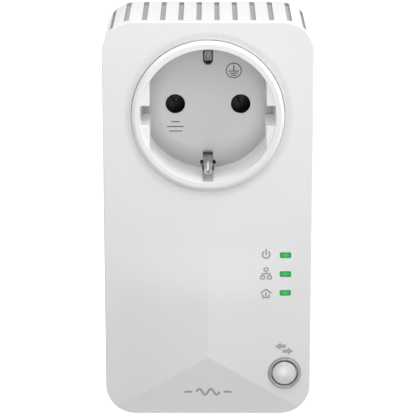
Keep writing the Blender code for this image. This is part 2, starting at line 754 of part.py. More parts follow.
def make_main_components():
    """Parts on the main board's back."""
    y = MAIN_BOARD_Y[1] + GAP
    chip = add_object("powerline_chip", block(6, 20, y, y + 1.0, -49, -35), "chip_black")
    bevel(chip, 0.15, 1)
    fins = bmesh.new()
    block(4, 22, y + 1.3, y + 2.8, -51, -33, fins)
    heatsink = add_object("chip_heatsink", fins, "aluminium", smooth=False)
    ribs = bmesh.new()
    for i in range(6):
        x = 4.4 + 3.24 * i
        block(x, x + 1.0, y + 2.2, y + 7.0, -50.8, -33.2, ribs)
    join(heatsink, ribs)
    add_object("memory_chip", block(-8, -2, y, y + 1.6, -37, -29), "chip_black", smooth=False)
    can = prism(rounded_rect(11, 4.4, 2.1, -12.5, -46), y, y + 3.5)
    add_object("crystal", can, "nickel")
    lan = block(-18.5, -5.5, y, y + 6.0, -65.5, -57.5)
    bevel(add_object("lan_transformer", lan, "chip_black"), 0.4, 1)


def make_jack():
    """Network jack, open towards the bottom, with the latch's stepped notch."""
    shell = block(JACK_X - JACK_W / 2, JACK_X + JACK_W / 2, *JACK_Y, *JACK_Z)
    jack = add_object("rj45_jack", shell, "nickel", smooth=False)
    cavity = bmesh.new()
    front_y = JACK_Y[0] + 2.0
    block(JACK_X - 5.95, JACK_X + 5.95, front_y, front_y + 6.9, JACK_Z[0] - 1, JACK_Z[0] + 13, cavity)
    cut(jack, cavity)
    notch = bmesh.new()
    block(JACK_X - 3.1, JACK_X + 3.1, front_y + 6.0, front_y + 8.6, JACK_Z[0] - 1.1,
          JACK_Z[0] + 9, notch)
    cut(jack, notch)


def make_power_components():
    """Mains parts on the power board's front, each standing off it by the solder gap."""
    y = POWER_BOARD_Y[0] - GAP
    across = Matrix.Rotation(math.radians(90), 4, "Z")
    upright = Matrix.Rotation(math.radians(90), 4, "X")

    fuse = turned_along(across, (-19, y - 2.7, -33),
                        [(2.6, -5.2), (2.6, -3.4), (2.3, -3.4), (2.3, 3.4), (2.6, 3.4),
                         (2.6, 5.2)])
    add_object("fuse", fuse, "glass")
    varistor = turned([(3.9, y - 4.6), (4.6, y - 3.9), (4.6, y - 0.7), (3.9, y)], -19.5, -42, 24)
    add_object("varistor", varistor, "varistor_blue")
    film = add_object("x2_capacitor", block(-26, -13, y - 12, y, -56, -50), "film_yellow")
    bevel(film, 0.4, 1)
    ring = [(4.6 + 2.0 * math.cos(a), y - 2.2 + 2.0 * math.sin(a))
            for a in (2 * math.pi * i / 10 for i in range(10))]
    add_object("common_mode_choke", turned(ring, -6.5, -40.5, 24, closed=True), "ferrite")
    add_object("bridge_rectifier", block(6, 14, y - 3, y, -38.5, -32.5), "chip_black", smooth=False)

    can = [(4.5, -10), (5.0, -9.5), (5.0, 9.0), (4.6, 9.4), (5.0, 9.8), (4.6, 10.2)]
    add_object("bulk_capacitor", turned_along(upright, (20.3, y - 5.1, -66), can, 24),
               "capacitor_sleeve")
    small = [(2.8, -5.5), (3.15, -5.1), (3.15, 5.1), (2.8, 5.5)]
    add_object("output_capacitor", turned_along(upright, (2.6, y - 3.3, -78), small, 20),
               "capacitor_sleeve")

    core = add_object("power_transformer", block(-2, 13, y - 13, y, -68, -54.5), "tape_yellow",
                      smooth=False)
    yokes = bmesh.new()
    for z0, z1 in ((-69.2, -66.0), (-56.5, -53.3)):
        block(-0.5, 11.5, y - 11.5, y - 1.5, z0, z1, yokes)
    join(core, yokes)
    coupler = add_object("coupling_transformer", block(8.5, 17.5, y - 8, y, -85.5, -76.5),
                         "ferrite")
    bevel(coupler, 0.5, 1)


# ---------------------------------------------------------------- fasteners and label

def make_housing_screws():
    profile = [(0.6, -40.6), (1.25, -39.6), (1.25, -29.9), (2.3, -29.9), (2.3, -29.0), (1.6, -28.2)]
    first = None
    for number, (x, z) in enumerate(screw_places(), 1):
        name = f"housing_screw_{number}"
        if first:
            copy_object(first, name, (x, 0, z))
        else:
            first = add_object(name, turned(profile, steps=16), "screw_steel")
            first.location = Vector((x, 0, z)) * MM


def make_label():
    outline = rounded_rect(LABEL_W, LABEL_H, 1.0, 0, LABEL_Z, 3)
    sticker = prism(outline, REAR_Y - LABEL_RECESS + 0.1, REAR_Y - 0.05)
    add_object("rating_label", sticker, "label_silver")


def main():
    clear_scene()
    make_front_cover()
    make_rear_housing()
    make_socket_well()
    make_socket_carrier()
    make_shutter()
    make_shutter_spring()
    make_earth_parts()
    make_sleeves()
    make_insert_screws()
    make_plug_body()
    make_plug_metal()
    make_windows()
    make_button()
    make_boards()
    make_main_components()
    make_jack()
    make_power_components()
    make_housing_screws()
    make_label()


main()
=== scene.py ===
"""Looks of the powerline adapter: visible pieces with fine edges and finishes on the CAD frame.

Sizes are in millimetres until a mesh is made. +X is right, +Y to the wall and +Z up.
The origin lies on the socket's axis, at the end face of the plug's body.
"""
import json
import math

import bmesh
import bpy
from mathutils import Matrix, Vector


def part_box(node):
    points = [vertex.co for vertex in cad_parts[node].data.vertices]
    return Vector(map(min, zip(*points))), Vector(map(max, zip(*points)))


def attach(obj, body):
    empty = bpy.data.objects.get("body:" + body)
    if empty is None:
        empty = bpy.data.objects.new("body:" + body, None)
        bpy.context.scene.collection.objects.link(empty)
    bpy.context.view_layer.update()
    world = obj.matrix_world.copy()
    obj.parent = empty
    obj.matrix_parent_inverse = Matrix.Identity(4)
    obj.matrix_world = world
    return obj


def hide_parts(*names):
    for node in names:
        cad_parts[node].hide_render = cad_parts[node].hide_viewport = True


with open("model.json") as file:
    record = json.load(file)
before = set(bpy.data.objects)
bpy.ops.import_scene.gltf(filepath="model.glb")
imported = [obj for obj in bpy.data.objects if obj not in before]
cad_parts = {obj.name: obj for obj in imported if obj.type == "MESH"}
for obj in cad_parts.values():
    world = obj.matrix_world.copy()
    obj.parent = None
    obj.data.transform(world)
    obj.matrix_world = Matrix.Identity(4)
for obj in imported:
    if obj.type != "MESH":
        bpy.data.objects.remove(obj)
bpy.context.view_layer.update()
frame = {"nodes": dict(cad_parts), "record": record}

MM = 0.001


def span(node):
    """Lowest and highest corner of a CAD node, in millimetres."""
    low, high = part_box(node)
    return Vector(low) / MM, Vector(high) / MM


def centre(node):
    """Middle of a CAD node, in millimetres."""
    low, high = span(node)
    return (low + high) / 2


# ---- sizes read from the frame

HOUSING_LOW, HOUSING_HIGH = span("rear_housing")
WELL_LOW, WELL_HIGH = span("socket_well")
BODY_LOW, BODY_HIGH = span("plug_body")
JACK_LOW, JACK_HIGH = span("rj45_jack")
LABEL_LOW, LABEL_HIGH = span("rating_label")

WIDTH = HOUSING_HIGH.x - HOUSING_LOW.x
TOP_Z = HOUSING_HIGH.z
BOTTOM_Z = HOUSING_LOW.z
HEIGHT = TOP_Z - BOTTOM_Z
MID_Z = (TOP_Z + BOTTOM_Z) / 2
PARTING_Y = HOUSING_LOW.y
INNER_BACK_Y = HOUSING_HIGH.y - 1.2
REAR_Y = HOUSING_HIGH.y
RING_Y = WELL_LOW.y
RING_R = WELL_HIGH.x
PLATE_Y = span("power_window")[0].y
CONTROL_X = centre("pair_button").x
BUTTON_Z = centre("pair_button").z
PIN_X = centre("neutral_pin").x
LABEL_Z = centre("rating_label").z
SCREWS = [centre(f"housing_screw_{i}") for i in (1, 2, 3, 4)]
INSERT_SCREWS = [centre(f"insert_screw_{i}") for i in (1, 2)]
WINDOWS = ("power_window", "network_window", "lan_window")


# ---- other sizes

# Housing
CORNER_R = 8.8
CORNER_X = WIDTH / 2 - CORNER_R
CORNER_Z = TOP_Z - CORNER_R
DRAFT = 0.1
WALL_T = 2.0
PARTING_GAP = 0.12
COVER_EDGE_R = 0.28
REAR_EDGE_R = 0.6
SCREW_SEAT_Y = -30.2
BOSS_END_Y = -32.3
TOWER_START_Y = -32.0

# Folded facets of the front: a ridge down the middle to an apex, and creases to the lower corners
RIDGE_TOP_Z = -37.9
RIDGE_FULL_Z = -55.0
APEX_Z = -72.2
FOLD_HEIGHT = PLATE_Y - span("front_cover")[0].y
FOLD_HALF_X = 27.6
FOLD_BOTTOM_Z = -89.0
FOLD_STEP = 2.4
CREASE_SLOPE = (APEX_Z - FOLD_BOTTOM_Z) / FOLD_HALF_X

# Vent grooves over the top
VENT_PITCH = 5.137
LAST_VENT_X = 27.4
VENT_HALF = 0.75
VENT_DEPTH = 0.75
VENT_OPENING_Y = -18.6
VENT_END_Y = -17.6

# Socket
RECESS_R = 19.4
MOAT_R = 24.8
FLOOR_Y = RING_Y + 16.0
WELL_BACK_Y = FLOOR_Y + 2.5
SLOT_HALF = 1.43
UPPER_SLOT_Z = 11.55
LOWER_SLOT_Z = 14.75
LOWER_POCKET_Z = 13.95

# Plug
PIN_R = 2.4
BODY_PLUG_R = 18.6
PLUG_EDGE_R = 0.8
PLUG_BASE_Y = -20.5

# Button
CAP_R = 3.55
CAP_DOME = 0.8
BEZEL_HOLE_R = 3.86

# Printed marks: height over the surface, and depth of the film's underside below it
FILM = 0.025
FILM_ROOT = 0.02


# ---- mesh helpers

def arc(cx, cz, radius, start, end, steps):
    """Points on an arc in the XZ plane, or in a profile's plane, with angles in degrees."""
    points = []
    for step in range(steps + 1):
        angle = math.radians(start + (end - start) * step / steps)
        points.append((cx + radius * math.cos(angle), cz + radius * math.sin(angle)))
    return points


def circle(cx, cz, radius, steps):
    """Points on a whole circle in the XZ plane."""
    return arc(cx, cz, radius, 0, 360, steps)[:-1]


def rounded_rect(width, height, radius, cx, cz, steps):
    """Outline of a rectangle with round corners in the XZ plane."""
    x = width / 2 - radius
    z = height / 2 - radius
    points = []
    for sx, sz, start in ((1, 1, 0), (-1, 1, 90), (-1, -1, 180), (1, -1, 270)):
        points += arc(cx + sx * x, cz + sz * z, radius, start, start + 90, steps)
    return points


def add_belt(bm, first, second):
    """Faces between two closed rings with equal numbers of vertices."""
    for i in range(len(first)):
        j = (i + 1) % len(first)
        bm.faces.new((first[i], first[j], second[j], second[i]))


def loft(sections, bm=None):
    """Closed body through outlines [(y, points), ...] with equal numbers of points."""
    bm = bm or bmesh.new()
    rings = [[bm.verts.new((x, y, z)) for x, z in points] for y, points in sections]
    for lower, upper in zip(rings, rings[1:]):
        add_belt(bm, lower, upper)
    bm.faces.new(rings[0])
    bm.faces.new(rings[-1][::-1])
    return bm


def rounded_rim(outline, width, depth, end_y, steps):
    """Sections that round off an end face: outline(inset) narrows while y goes on to end_y."""
    sections = []
    for step in range(steps + 1):
        angle = math.radians(90 * step / steps)
        sections.append((end_y + depth * (1 - math.sin(angle)),
                         outline(width * (1 - math.cos(angle)))))
    return sections


def prism(outline, y0, y1, bm=None):
    """Outline in the XZ plane drawn out along Y."""
    return loft([(y0, outline), (y1, outline)], bm)


def block(x0, x1, y0, y1, z0, z1):
    """Plain box, mostly a tool for cuts; z0 and z1 may come in either order."""
    z0, z1 = sorted((z0, z1))
    return prism([(x0, z0), (x1, z0), (x1, z1), (x0, z1)], y0, y1)


def turned(profile, cx, cz, steps, closed=False, bm=None):
    """Body turned about an axis along Y from (radius, y) points, with flat discs for ends."""
    bm = bm or bmesh.new()
    rings = []
    for radius, y in profile:
        rings.append([bm.verts.new((x, y, z)) for x, z in circle(cx, cz, radius, steps)])
    pairs = list(zip(rings, rings[1:]))
    if closed:
        pairs.append((rings[-1], rings[0]))
    else:
        bm.faces.new(rings[0])
        bm.faces.new(rings[-1][::-1])
    for first, second in pairs:
        add_belt(bm, first, second)
    return bm


def rod(cx, cz, radius, y0, y1, steps, bm=None):
    """Cylinder along Y."""
    return prism(circle(cx, cz, radius, steps), y0, y1, bm)


def make(name, bm):
    """Object in metres from a bmesh in millimetres, its faces pointing out."""
    bmesh.ops.recalc_face_normals(bm, faces=bm.faces)
    bm.transform(Matrix.Scale(MM, 4))
    mesh = bpy.data.meshes.new(name)
    bm.to_mesh(mesh)
    bm.free()
    item = bpy.data.objects.new(name, mesh)
    bpy.context.scene.collection.objects.link(item)
    return item


def apply_modifiers(item):
    """Replace the object's mesh by what its modifiers make of it."""
    bpy.context.view_layer.update()
    graph = bpy.context.evaluated_depsgraph_get()
    mesh = bpy.data.meshes.new_from_object(item.evaluated_get(graph))
    item.modifiers.clear()
    item.data = mesh


def boolean(item, bm, operation):
    """Combine a piece with another body."""
    tool = make("tool", bm)
    modifier = item.modifiers.new("boolean", "BOOLEAN")
    modifier.operation = operation
    modifier.object = tool
    apply_modifiers(item)
    bpy.data.objects.remove(tool, do_unlink=True)


def cut(item, bm):
    boolean(item, bm, "DIFFERENCE")


def join(item, bm):
    boolean(item, bm, "UNION")


def soften(item, width):
    """Round the sharp edges of a piece."""
    modifier = item.modifiers.new("bevel", "BEVEL")
    modifier.width = width * MM
    modifier.segments = 2
    modifier.limit_method = "ANGLE"
    modifier.angle_limit = math.radians(40)
    apply_modifiers(item)


def smooth(item, angle, weighted=True):
    """Smooth shading with sharp edges over an angle, flat faces kept flat."""
    item.data.shade_smooth()
    item.data.set_sharp_from_angle(angle=math.radians(angle))
    if weighted:
        modifier = item.modifiers.new("weighted", "WEIGHTED_NORMAL")
        modifier.keep_sharp = True
        modifier.weight = 80


def dress(item, finish, body="root", replaces=(), angle=None):
    """Give a piece its finish and its place in the frame, and smooth it if an angle is given."""
    if angle:
        smooth(item, angle)
    item.data.materials.clear()
    item.data.materials.append(finish)
    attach(item, body)
    if replaces:
        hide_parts(*replaces)


# ---- finishes

# Places of a colour mix node's colour sockets, which share their names with its other types
MIX_COLOUR_A, MIX_COLOUR_B, MIX_RESULT = 6, 7, 2

GRAIN_SCALE = 5200
SCRATCH_SCALE = 2500


class Graph:
    """Short-hand for building a material's node tree. Values are plain ones or node outputs."""

    def __init__(self, name):
        self.material = bpy.data.materials.new(name + "_finish")
        self.material.use_nodes = True
        self.nodes = self.material.node_tree.nodes
        self.coords = self.nodes.new("ShaderNodeTexCoord").outputs["Object"]

    def feed(self, socket, value):
        """Link an output to a socket, or set the socket's own value."""
        if isinstance(value, bpy.types.NodeSocket):
            self.material.node_tree.links.new(value, socket)
        else:
            socket.default_value = value

    def add(self, kind, **inputs):
        """New node with the named inputs, underscores standing for spaces."""
        node = self.nodes.new("ShaderNode" + kind)
        for key, value in inputs.items():
            self.feed(node.inputs[key.replace("_", " ")], value)
        return node

    def noise(self, scale, detail, stretch=None):
        vector = self.coords
        if stretch:
            vector = self.add("Mapping", Scale=stretch, Vector=vector).outputs["Vector"]
        return self.add("TexNoise", Scale=scale, Detail=detail, Vector=vector).outputs["Fac"]

    def remap(self, value, low, high, to_low, to_high):
        """Clamped change of range."""
        return self.add("MapRange", Value=value, From_Min=low, From_Max=high, To_Min=to_low,
                        To_Max=to_high).outputs["Result"]

    def mix(self, factor, colour_a, colour_b):
        """Colour between two others."""
        node = self.nodes.new("ShaderNodeMix")
        node.data_type = "RGBA"
        self.feed(node.inputs["Factor"], factor)
        for key, colour in ((MIX_COLOUR_A, colour_a), (MIX_COLOUR_B, colour_b)):
            self.feed(node.inputs[key], (*colour, 1.0) if isinstance(colour, tuple) else colour)
        return node.outputs[MIX_RESULT]

    def vector(self, operation, value, other=(0, 0, 0)):
        """Outputs of one vector sum."""
        node = self.nodes.new("ShaderNodeVectorMath")
        node.operation = operation
        self.feed(node.inputs[0], value)
        self.feed(node.inputs[1], other)
        return node.outputs

    def axis(self, name):
        """One coordinate of the object's space, in metres."""
        return self.add("SeparateXYZ", Vector=self.coords).outputs[name]

    def bump(self, height, strength, distance, normal=None):
        node = self.add("Bump", Strength=strength, Distance=distance * MM, Height=height)
        if normal:
            self.feed(node.inputs["Normal"], normal)
        return node.outputs["Normal"]

    def set(self, **values):
        """Feed the shader's sockets, underscores standing for spaces."""
        for key, value in values.items():
            self.feed(self.nodes["Principled BSDF"].inputs[key.replace("_", " ")], value)


def shade(colour, factor):
    """The same colour, lighter or darker."""
    return tuple(min(1.0, channel * factor) for channel in colour)


def moulded(name, colour, roughness, grain=0.10, grain_scale=GRAIN_SCALE, spread=0.03,
            specular=0.5):
    """Moulded plastic: spark-eroded grain, faint flow clouds and edges that are lighter where they
    are sharp and convex.
    """
    g = Graph(name)
    clouds = g.noise(45, 4)
    tone = g.mix(clouds, shade(colour, 1 - spread), shade(colour, 1 + spread))
    pointiness = g.add("NewGeometry").outputs["Pointiness"]  # over one half on convex edges
    convex_edges = g.remap(pointiness, 0.52, 0.62, 0.0, 0.35)
    g.set(Base_Color=g.mix(convex_edges, tone, shade(colour, 1.06)),
          Roughness=g.remap(g.noise(900, 5), 0.3, 0.7, roughness - 0.05, roughness + 0.06),
          Specular_IOR_Level=specular)
    fine = g.bump(g.noise(grain_scale, 2), grain, 0.03)
    g.set(Normal=g.bump(g.noise(300, 2), grain * 0.4, 0.05, fine))
    return g.material


def socket_finish(name):
    """Moulded insert: satin ring and walls, the walls painted lighter than the ring as painted
    light, and an etched, rougher floor that is greyer and painted darker towards its rim as painted
    shade.
    """
    g = Graph(name)
    depth = g.axis("Y")
    flat = g.vector("MULTIPLY", g.coords, (1, 0, 1))["Vector"]
    radius = g.vector("LENGTH", flat)["Value"]
    at_floor = g.remap(depth, (FLOOR_Y - 0.25) * MM, (FLOOR_Y - 0.02) * MM, 0.0, 1.0)
    # painted light: mask that turns the ring's tone into the lighter wall tone with depth
    wall_light_mask = g.remap(depth, (RING_Y + 0.25) * MM, (RING_Y + 1.4) * MM, 0.0, 1.0)
    # painted shade: mask that darkens the floor towards the foot of the recess wall
    rim_shade_mask = g.remap(radius, 13.5 * MM, RECESS_R * MM, 0.0, 1.0)
    cloud = g.noise(45, 4)
    ring = g.mix(cloud, (0.80, 0.80, 0.80), (0.84, 0.84, 0.84))
    # painted light: the walls get a lighter white than the ring, for the light falling on them from
    # above
    wall = g.mix(cloud, (0.90, 0.90, 0.90), (0.94, 0.94, 0.94))
    middle = g.mix(cloud, (0.67, 0.68, 0.685), (0.71, 0.72, 0.725))
    # painted shade: darker floor colour for the shade along the foot of the wall
    rim = g.mix(cloud, (0.50, 0.51, 0.52), (0.54, 0.55, 0.56))
    body = g.mix(wall_light_mask, ring, wall)
    g.set(Base_Color=g.mix(at_floor, body, g.mix(rim_shade_mask, middle, rim)),
          Roughness=g.remap(at_floor, 0.0, 1.0, 0.36, 0.55))
    fine = g.bump(g.noise(GRAIN_SCALE, 2), 0.08, 0.03)
    g.set(Normal=g.bump(g.noise(300, 2), 0.03, 0.05, fine))
    return g.material


def metal(name, colour, roughness, stretch=(1, 1, 1), grain=0.12, metallic=1.0):
    """Metal with drawn or brushed scratches along one direction and a little tarnish."""
    g = Graph(name)
    tarnish = g.noise(160, 5)
    tone = g.mix(tarnish, shade(colour, 0.86), shade(colour, 1.06))
    scratch = g.noise(SCRATCH_SCALE, 4, stretch)
    g.set(Base_Color=tone, Metallic=metallic,
          Roughness=g.remap(scratch, 0.3, 0.7, roughness - 0.07, roughness + 0.1),
          Normal=g.bump(scratch, grain, 0.02))
    return g.material


def board_finish(name):
    """Solder resist with tracks that show through it."""
    g = Graph(name)
    tracks = g.add("TexBrick", Scale=240, Mortar_Size=0.03, Vector=g.coords).outputs["Fac"]
    g.set(Base_Color=g.mix(tracks, (0.02, 0.17, 0.07), (0.05, 0.30, 0.12)),
          Roughness=g.remap(g.noise(500, 3), 0.3, 0.7, 0.30, 0.45),
          Normal=g.bump(tracks, 0.3, 0.03))
    return g.material


def window_finish(name):
    """Frosted green light pipe, lit from behind and hotter in its middle."""
    g = Graph(name)
    frost = g.noise(2600, 3)
    box = g.add("TexCoord").outputs["Generated"]
    flat = g.vector("MULTIPLY", box, (1, 0, 1))["Vector"]
    off_centre = g.vector("DISTANCE", flat, (0.5, 0, 0.5))["Value"]
    away = g.remap(off_centre, 0.16, 0.56, 0.0, 1.0)
    core = g.mix(frost, (0.03, 0.47, 0.10), (0.05, 0.54, 0.13))
    edge = g.mix(frost, (0.0, 0.27, 0.06), (0.005, 0.35, 0.08))
    glow = g.mix(away, core, edge)
    g.set(Base_Color=glow, Roughness=0.45, Emission_Color=glow, Emission_Strength=0.15,
          Specular_IOR_Level=0.25, Normal=g.bump(frost, 0.08, 0.02))
    return g.material


def ink(name, colour):
    """Printed mark with a slightly uneven, satin film."""
    g = Graph(name)
    g.set(Base_Color=g.mix(g.noise(1500, 4), shade(colour, 0.92), shade(colour, 1.08)),
          Roughness=0.5, Normal=g.bump(g.noise(4000, 2), 0.06, 0.02))
    return g.material


def make_finishes():
    """Every finish by its name, which for most is also the name of a material slot."""
    wipe = (1, 30, 1)
    made = [
        moulded("white_shell", (0.80, 0.80, 0.80), 0.34),
        socket_finish("socket_plastic"),
        # painted shade: grey that stands for the shade in the vent grooves of the white housing
        moulded("vent_shade_grey", (0.40, 0.40, 0.40), 0.6),
        moulded("carrier_plastic", (0.62, 0.62, 0.60), 0.55, 0.2),
        moulded("shutter_black", (0.012, 0.012, 0.014), 0.5, 0.1, spread=0.2, specular=0.25),
        metal("contact_steel", (0.42, 0.42, 0.42), 0.30, (1, 12, 1)),
        metal("strap_steel", (0.60, 0.61, 0.61), 0.5, (1, 12, 1), metallic=0.15),
        metal("brass", (0.78, 0.58, 0.28), 0.30, wipe),
        metal("nickel", (0.72, 0.70, 0.67), 0.20, wipe, grain=0.08),
        metal("screw_steel", (0.48, 0.48, 0.50), 0.34, grain=0.2),
        window_finish("window_green"),
        moulded("led_body", (0.85, 0.84, 0.72), 0.25, 0.05),
        metal("button_satin", (0.84, 0.85, 0.85), 0.44, metallic=0.45, grain=0.04),
        metal("bezel_grey", (0.43, 0.44, 0.45), 0.50, metallic=0.1, grain=0.04),
        board_finish("board_green"),
        moulded("chip_black", (0.025, 0.025, 0.027), 0.5, 0.25, spread=0.15),
        metal("aluminium", (0.70, 0.71, 0.72), 0.32, (1, 1, 20)),
        moulded("capacitor_sleeve", (0.02, 0.035, 0.10), 0.3, 0.06),
        moulded("film_yellow", (0.72, 0.55, 0.08), 0.42),
        moulded("varistor_blue", (0.04, 0.10, 0.42), 0.32, 0.3, 900),
        moulded("ferrite", (0.06, 0.06, 0.065), 0.6, 0.35, 2200, 0.2),
        moulded("tape_yellow", (0.78, 0.60, 0.12), 0.28, 0.05),
        moulded("glass", (0.72, 0.76, 0.76), 0.08, 0.02),
        metal("label_silver", (0.62, 0.63, 0.64), 0.42, metallic=0.4, grain=0.05),
    ]
    return {material.name.removesuffix("_finish"): material for material in made}


# ---- front cover

def plate_rise(x, z):
    """How far the folded front stands proud of its flat upper part, in millimetres."""
    if z >= RIDGE_TOP_Z:
        return 0.0
    along = min(1.0, (RIDGE_TOP_Z - z) / (RIDGE_TOP_Z - RIDGE_FULL_Z))
    ridge = along * along * (3 - 2 * along)
    side = max(0.0, 1 - abs(x) / FOLD_HALF_X)
    lower = max(0.0, (z - FOLD_BOTTOM_Z) / (APEX_Z - FOLD_BOTTOM_Z))
    return FOLD_HEIGHT * min(ridge * side, lower)


def housing_outline(inset):
    """Outline of the front plate and the housing, drawn in by some millimetres."""
    return rounded_rect(WIDTH - 2 * inset, HEIGHT - 2 * inset, CORNER_R - inset, 0, MID_Z, 20)


def rear_outline(inset):
    return housing_outline(DRAFT + inset)


def dip(inner, outer, depth, cx=0.0, cz=0.0, steps=160):
    """Cutter for a soft dip in the plate around a round opening."""
    rings = 10
    profile = [(inner - 1.0, PLATE_Y - 3), (inner - 1.0, PLATE_Y + depth)]
    for i in range(rings + 1):
        t = i / rings
        drop = depth * (1 - t) ** 2
        profile.append((inner + (outer - inner) * t, PLATE_Y + drop - 0.002 * t))
    profile.append((outer + 0.5, PLATE_Y - 3))
    return turned(profile, cx, cz, steps, closed=True)


def fold_front(item):
    """Bend the flat front into its facets, with a crisp ridge and crisp creases."""
    bm = bmesh.new()
    bm.from_mesh(item.data)
    bm.transform(Matrix.Scale(1 / MM, 4))
    planes = [((0, 0, 0), (1, 0, 0))]
    planes += [((0, 0, APEX_Z), (side * CREASE_SLOPE, 0, 1)) for side in (-1, 1)]
    planes += [((i * FOLD_STEP, 0, 0), (1, 0, 0)) for i in range(-11, 12) if i]
    level = RIDGE_TOP_Z
    while level > BOTTOM_Z + 1:
        planes.append(((0, 0, level), (0, 0, 1)))
        level -= FOLD_STEP
    for spot, normal in planes:
        geometry = bm.verts[:] + bm.edges[:] + bm.faces[:]
        bmesh.ops.bisect_plane(bm, geom=geometry, plane_co=spot, plane_no=normal, dist=1e-5)
    for vert in bm.verts:
        if vert.co.y < PLATE_Y + 1.6:
            vert.co.y -= plate_rise(vert.co.x, vert.co.z)
    bm.transform(Matrix.Scale(MM, 4))
    bm.to_mesh(item.data)
    bm.free()


def sharpen_folds(item):
    """Mark the ridge and the creases sharp, because their angle is too small to be found."""
    mesh = item.data
    sharp = mesh.attributes.get("sharp_edge")
    if sharp is None:
        sharp = mesh.attributes.new("sharp_edge", "BOOLEAN", "EDGE")
    for edge in mesh.edges:
        ends = [mesh.vertices[i].co / MM for i in edge.vertices]
        if any(end.y > PLATE_Y + 0.1 for end in ends):
            continue
        on_ridge = all(abs(end.x) < 0.01 and APEX_Z - 0.1 < end.z < RIDGE_TOP_Z - 6 for end in ends)
        on_crease = all(abs(end.z - APEX_Z + CREASE_SLOPE * abs(end.x)) < 0.02
                        and end.z < APEX_Z + 0.1 for end in ends)
        if on_ridge or on_crease:
            sharp.data[edge.index].value = True


def make_cover(finish):
    """Front plate with the dips around its openings and the folds of its lower part."""
    sections = [(PARTING_Y - 0.08, housing_outline(PARTING_GAP)),
                (PARTING_Y - 0.22, housing_outline(0))]
    sections += rounded_rim(housing_outline, COVER_EDGE_R, COVER_EDGE_R, PLATE_Y, 8)
    cover = make("cover", loft(sections))
    cut(cover, prism(housing_outline(WALL_T), PLATE_Y + 2.2, PARTING_Y + 1))

    bosses = bmesh.new()
    for spot in SCREWS:
        rod(spot.x, spot.z, 2.6, PLATE_Y + 1.9, BOSS_END_Y, 32, bosses)
    join(cover, bosses)

    cut(cover, dip(RING_R + 0.15, MOAT_R, 0.75))
    cut(cover, rod(0, 0, RING_R + 0.18, PLATE_Y - 2, PLATE_Y + 6, 160))
    bezel_low, bezel_high = span("button_bezel")
    bezel_r = (bezel_high.x - bezel_low.x) / 2 - 0.12
    cut(cover, dip(bezel_r + 0.05, bezel_r + 0.45, 0.18, CONTROL_X, BUTTON_Z, 72))
    cut(cover, rod(CONTROL_X, BUTTON_Z, bezel_r + 0.06, PLATE_Y - 2, PLATE_Y + 6, 72))
    holes = bmesh.new()
    for node in WINDOWS:
        low, high = span(node)
        outline = rounded_rect(high.x - low.x + 0.1, high.z - low.z + 0.1, 0.4,
                               (low.x + high.x) / 2, (low.z + high.z) / 2, 6)
        prism(outline, PLATE_Y - 2, PLATE_Y + 6, holes)
    for spot in SCREWS:
        rod(spot.x, spot.z, 1.45, -41.5, -31, 24, holes)
    cut(cover, holes)
    fold_front(cover)
    smooth(cover, 30)
    sharpen_folds(cover)
    dress(cover, finish, replaces=["front_cover"])


# ---- rear housing

def vent_places():
    """Places of the vents across the top, from left to right."""
    places = [VENT_PITCH * (i + 0.5) for i in range(5)] + [LAST_VENT_X]
    return [-x for x in reversed(places)] + places


def vent_cutter(x):
    """Shallow groove with an undercut opening at its rear end, square to the curved surface."""
    lean = math.asin(max(0.0, abs(x) - CORNER_X) / CORNER_R)
    surface = CORNER_R
    floor = surface - VENT_DEPTH
    inner = surface - 2 * WALL_T
    outline = [(PARTING_Y - 1, surface + 1), (VENT_END_Y, surface + 1), (VENT_END_Y, surface),
               (INNER_BACK_Y, floor), (INNER_BACK_Y, inner), (VENT_OPENING_Y, inner),
               (VENT_OPENING_Y, floor), (PARTING_Y - 1, floor)]
    bm = bmesh.new()
    near, far = ([bm.verts.new((side, y, r)) for y, r in outline]
                 for side in (-VENT_HALF, VENT_HALF))
    add_belt(bm, near, far)
    bm.faces.new(near)
    bm.faces.new(far[::-1])
    base = Vector((math.copysign(min(abs(x), CORNER_X), x), 0, CORNER_Z))
    bm.transform(Matrix.Translation(base) @ Matrix.Rotation(math.copysign(lean, x), 4, "Y"))
    return bm


def depth_below_top(spot):
    """Depth of a point under the housing's top and upper corners, in millimetres."""
    across = max(0.0, abs(spot.x) - CORNER_X)
    up = spot.z - CORNER_Z
    return CORNER_R - math.hypot(across, up) if up > 0 else 0.0


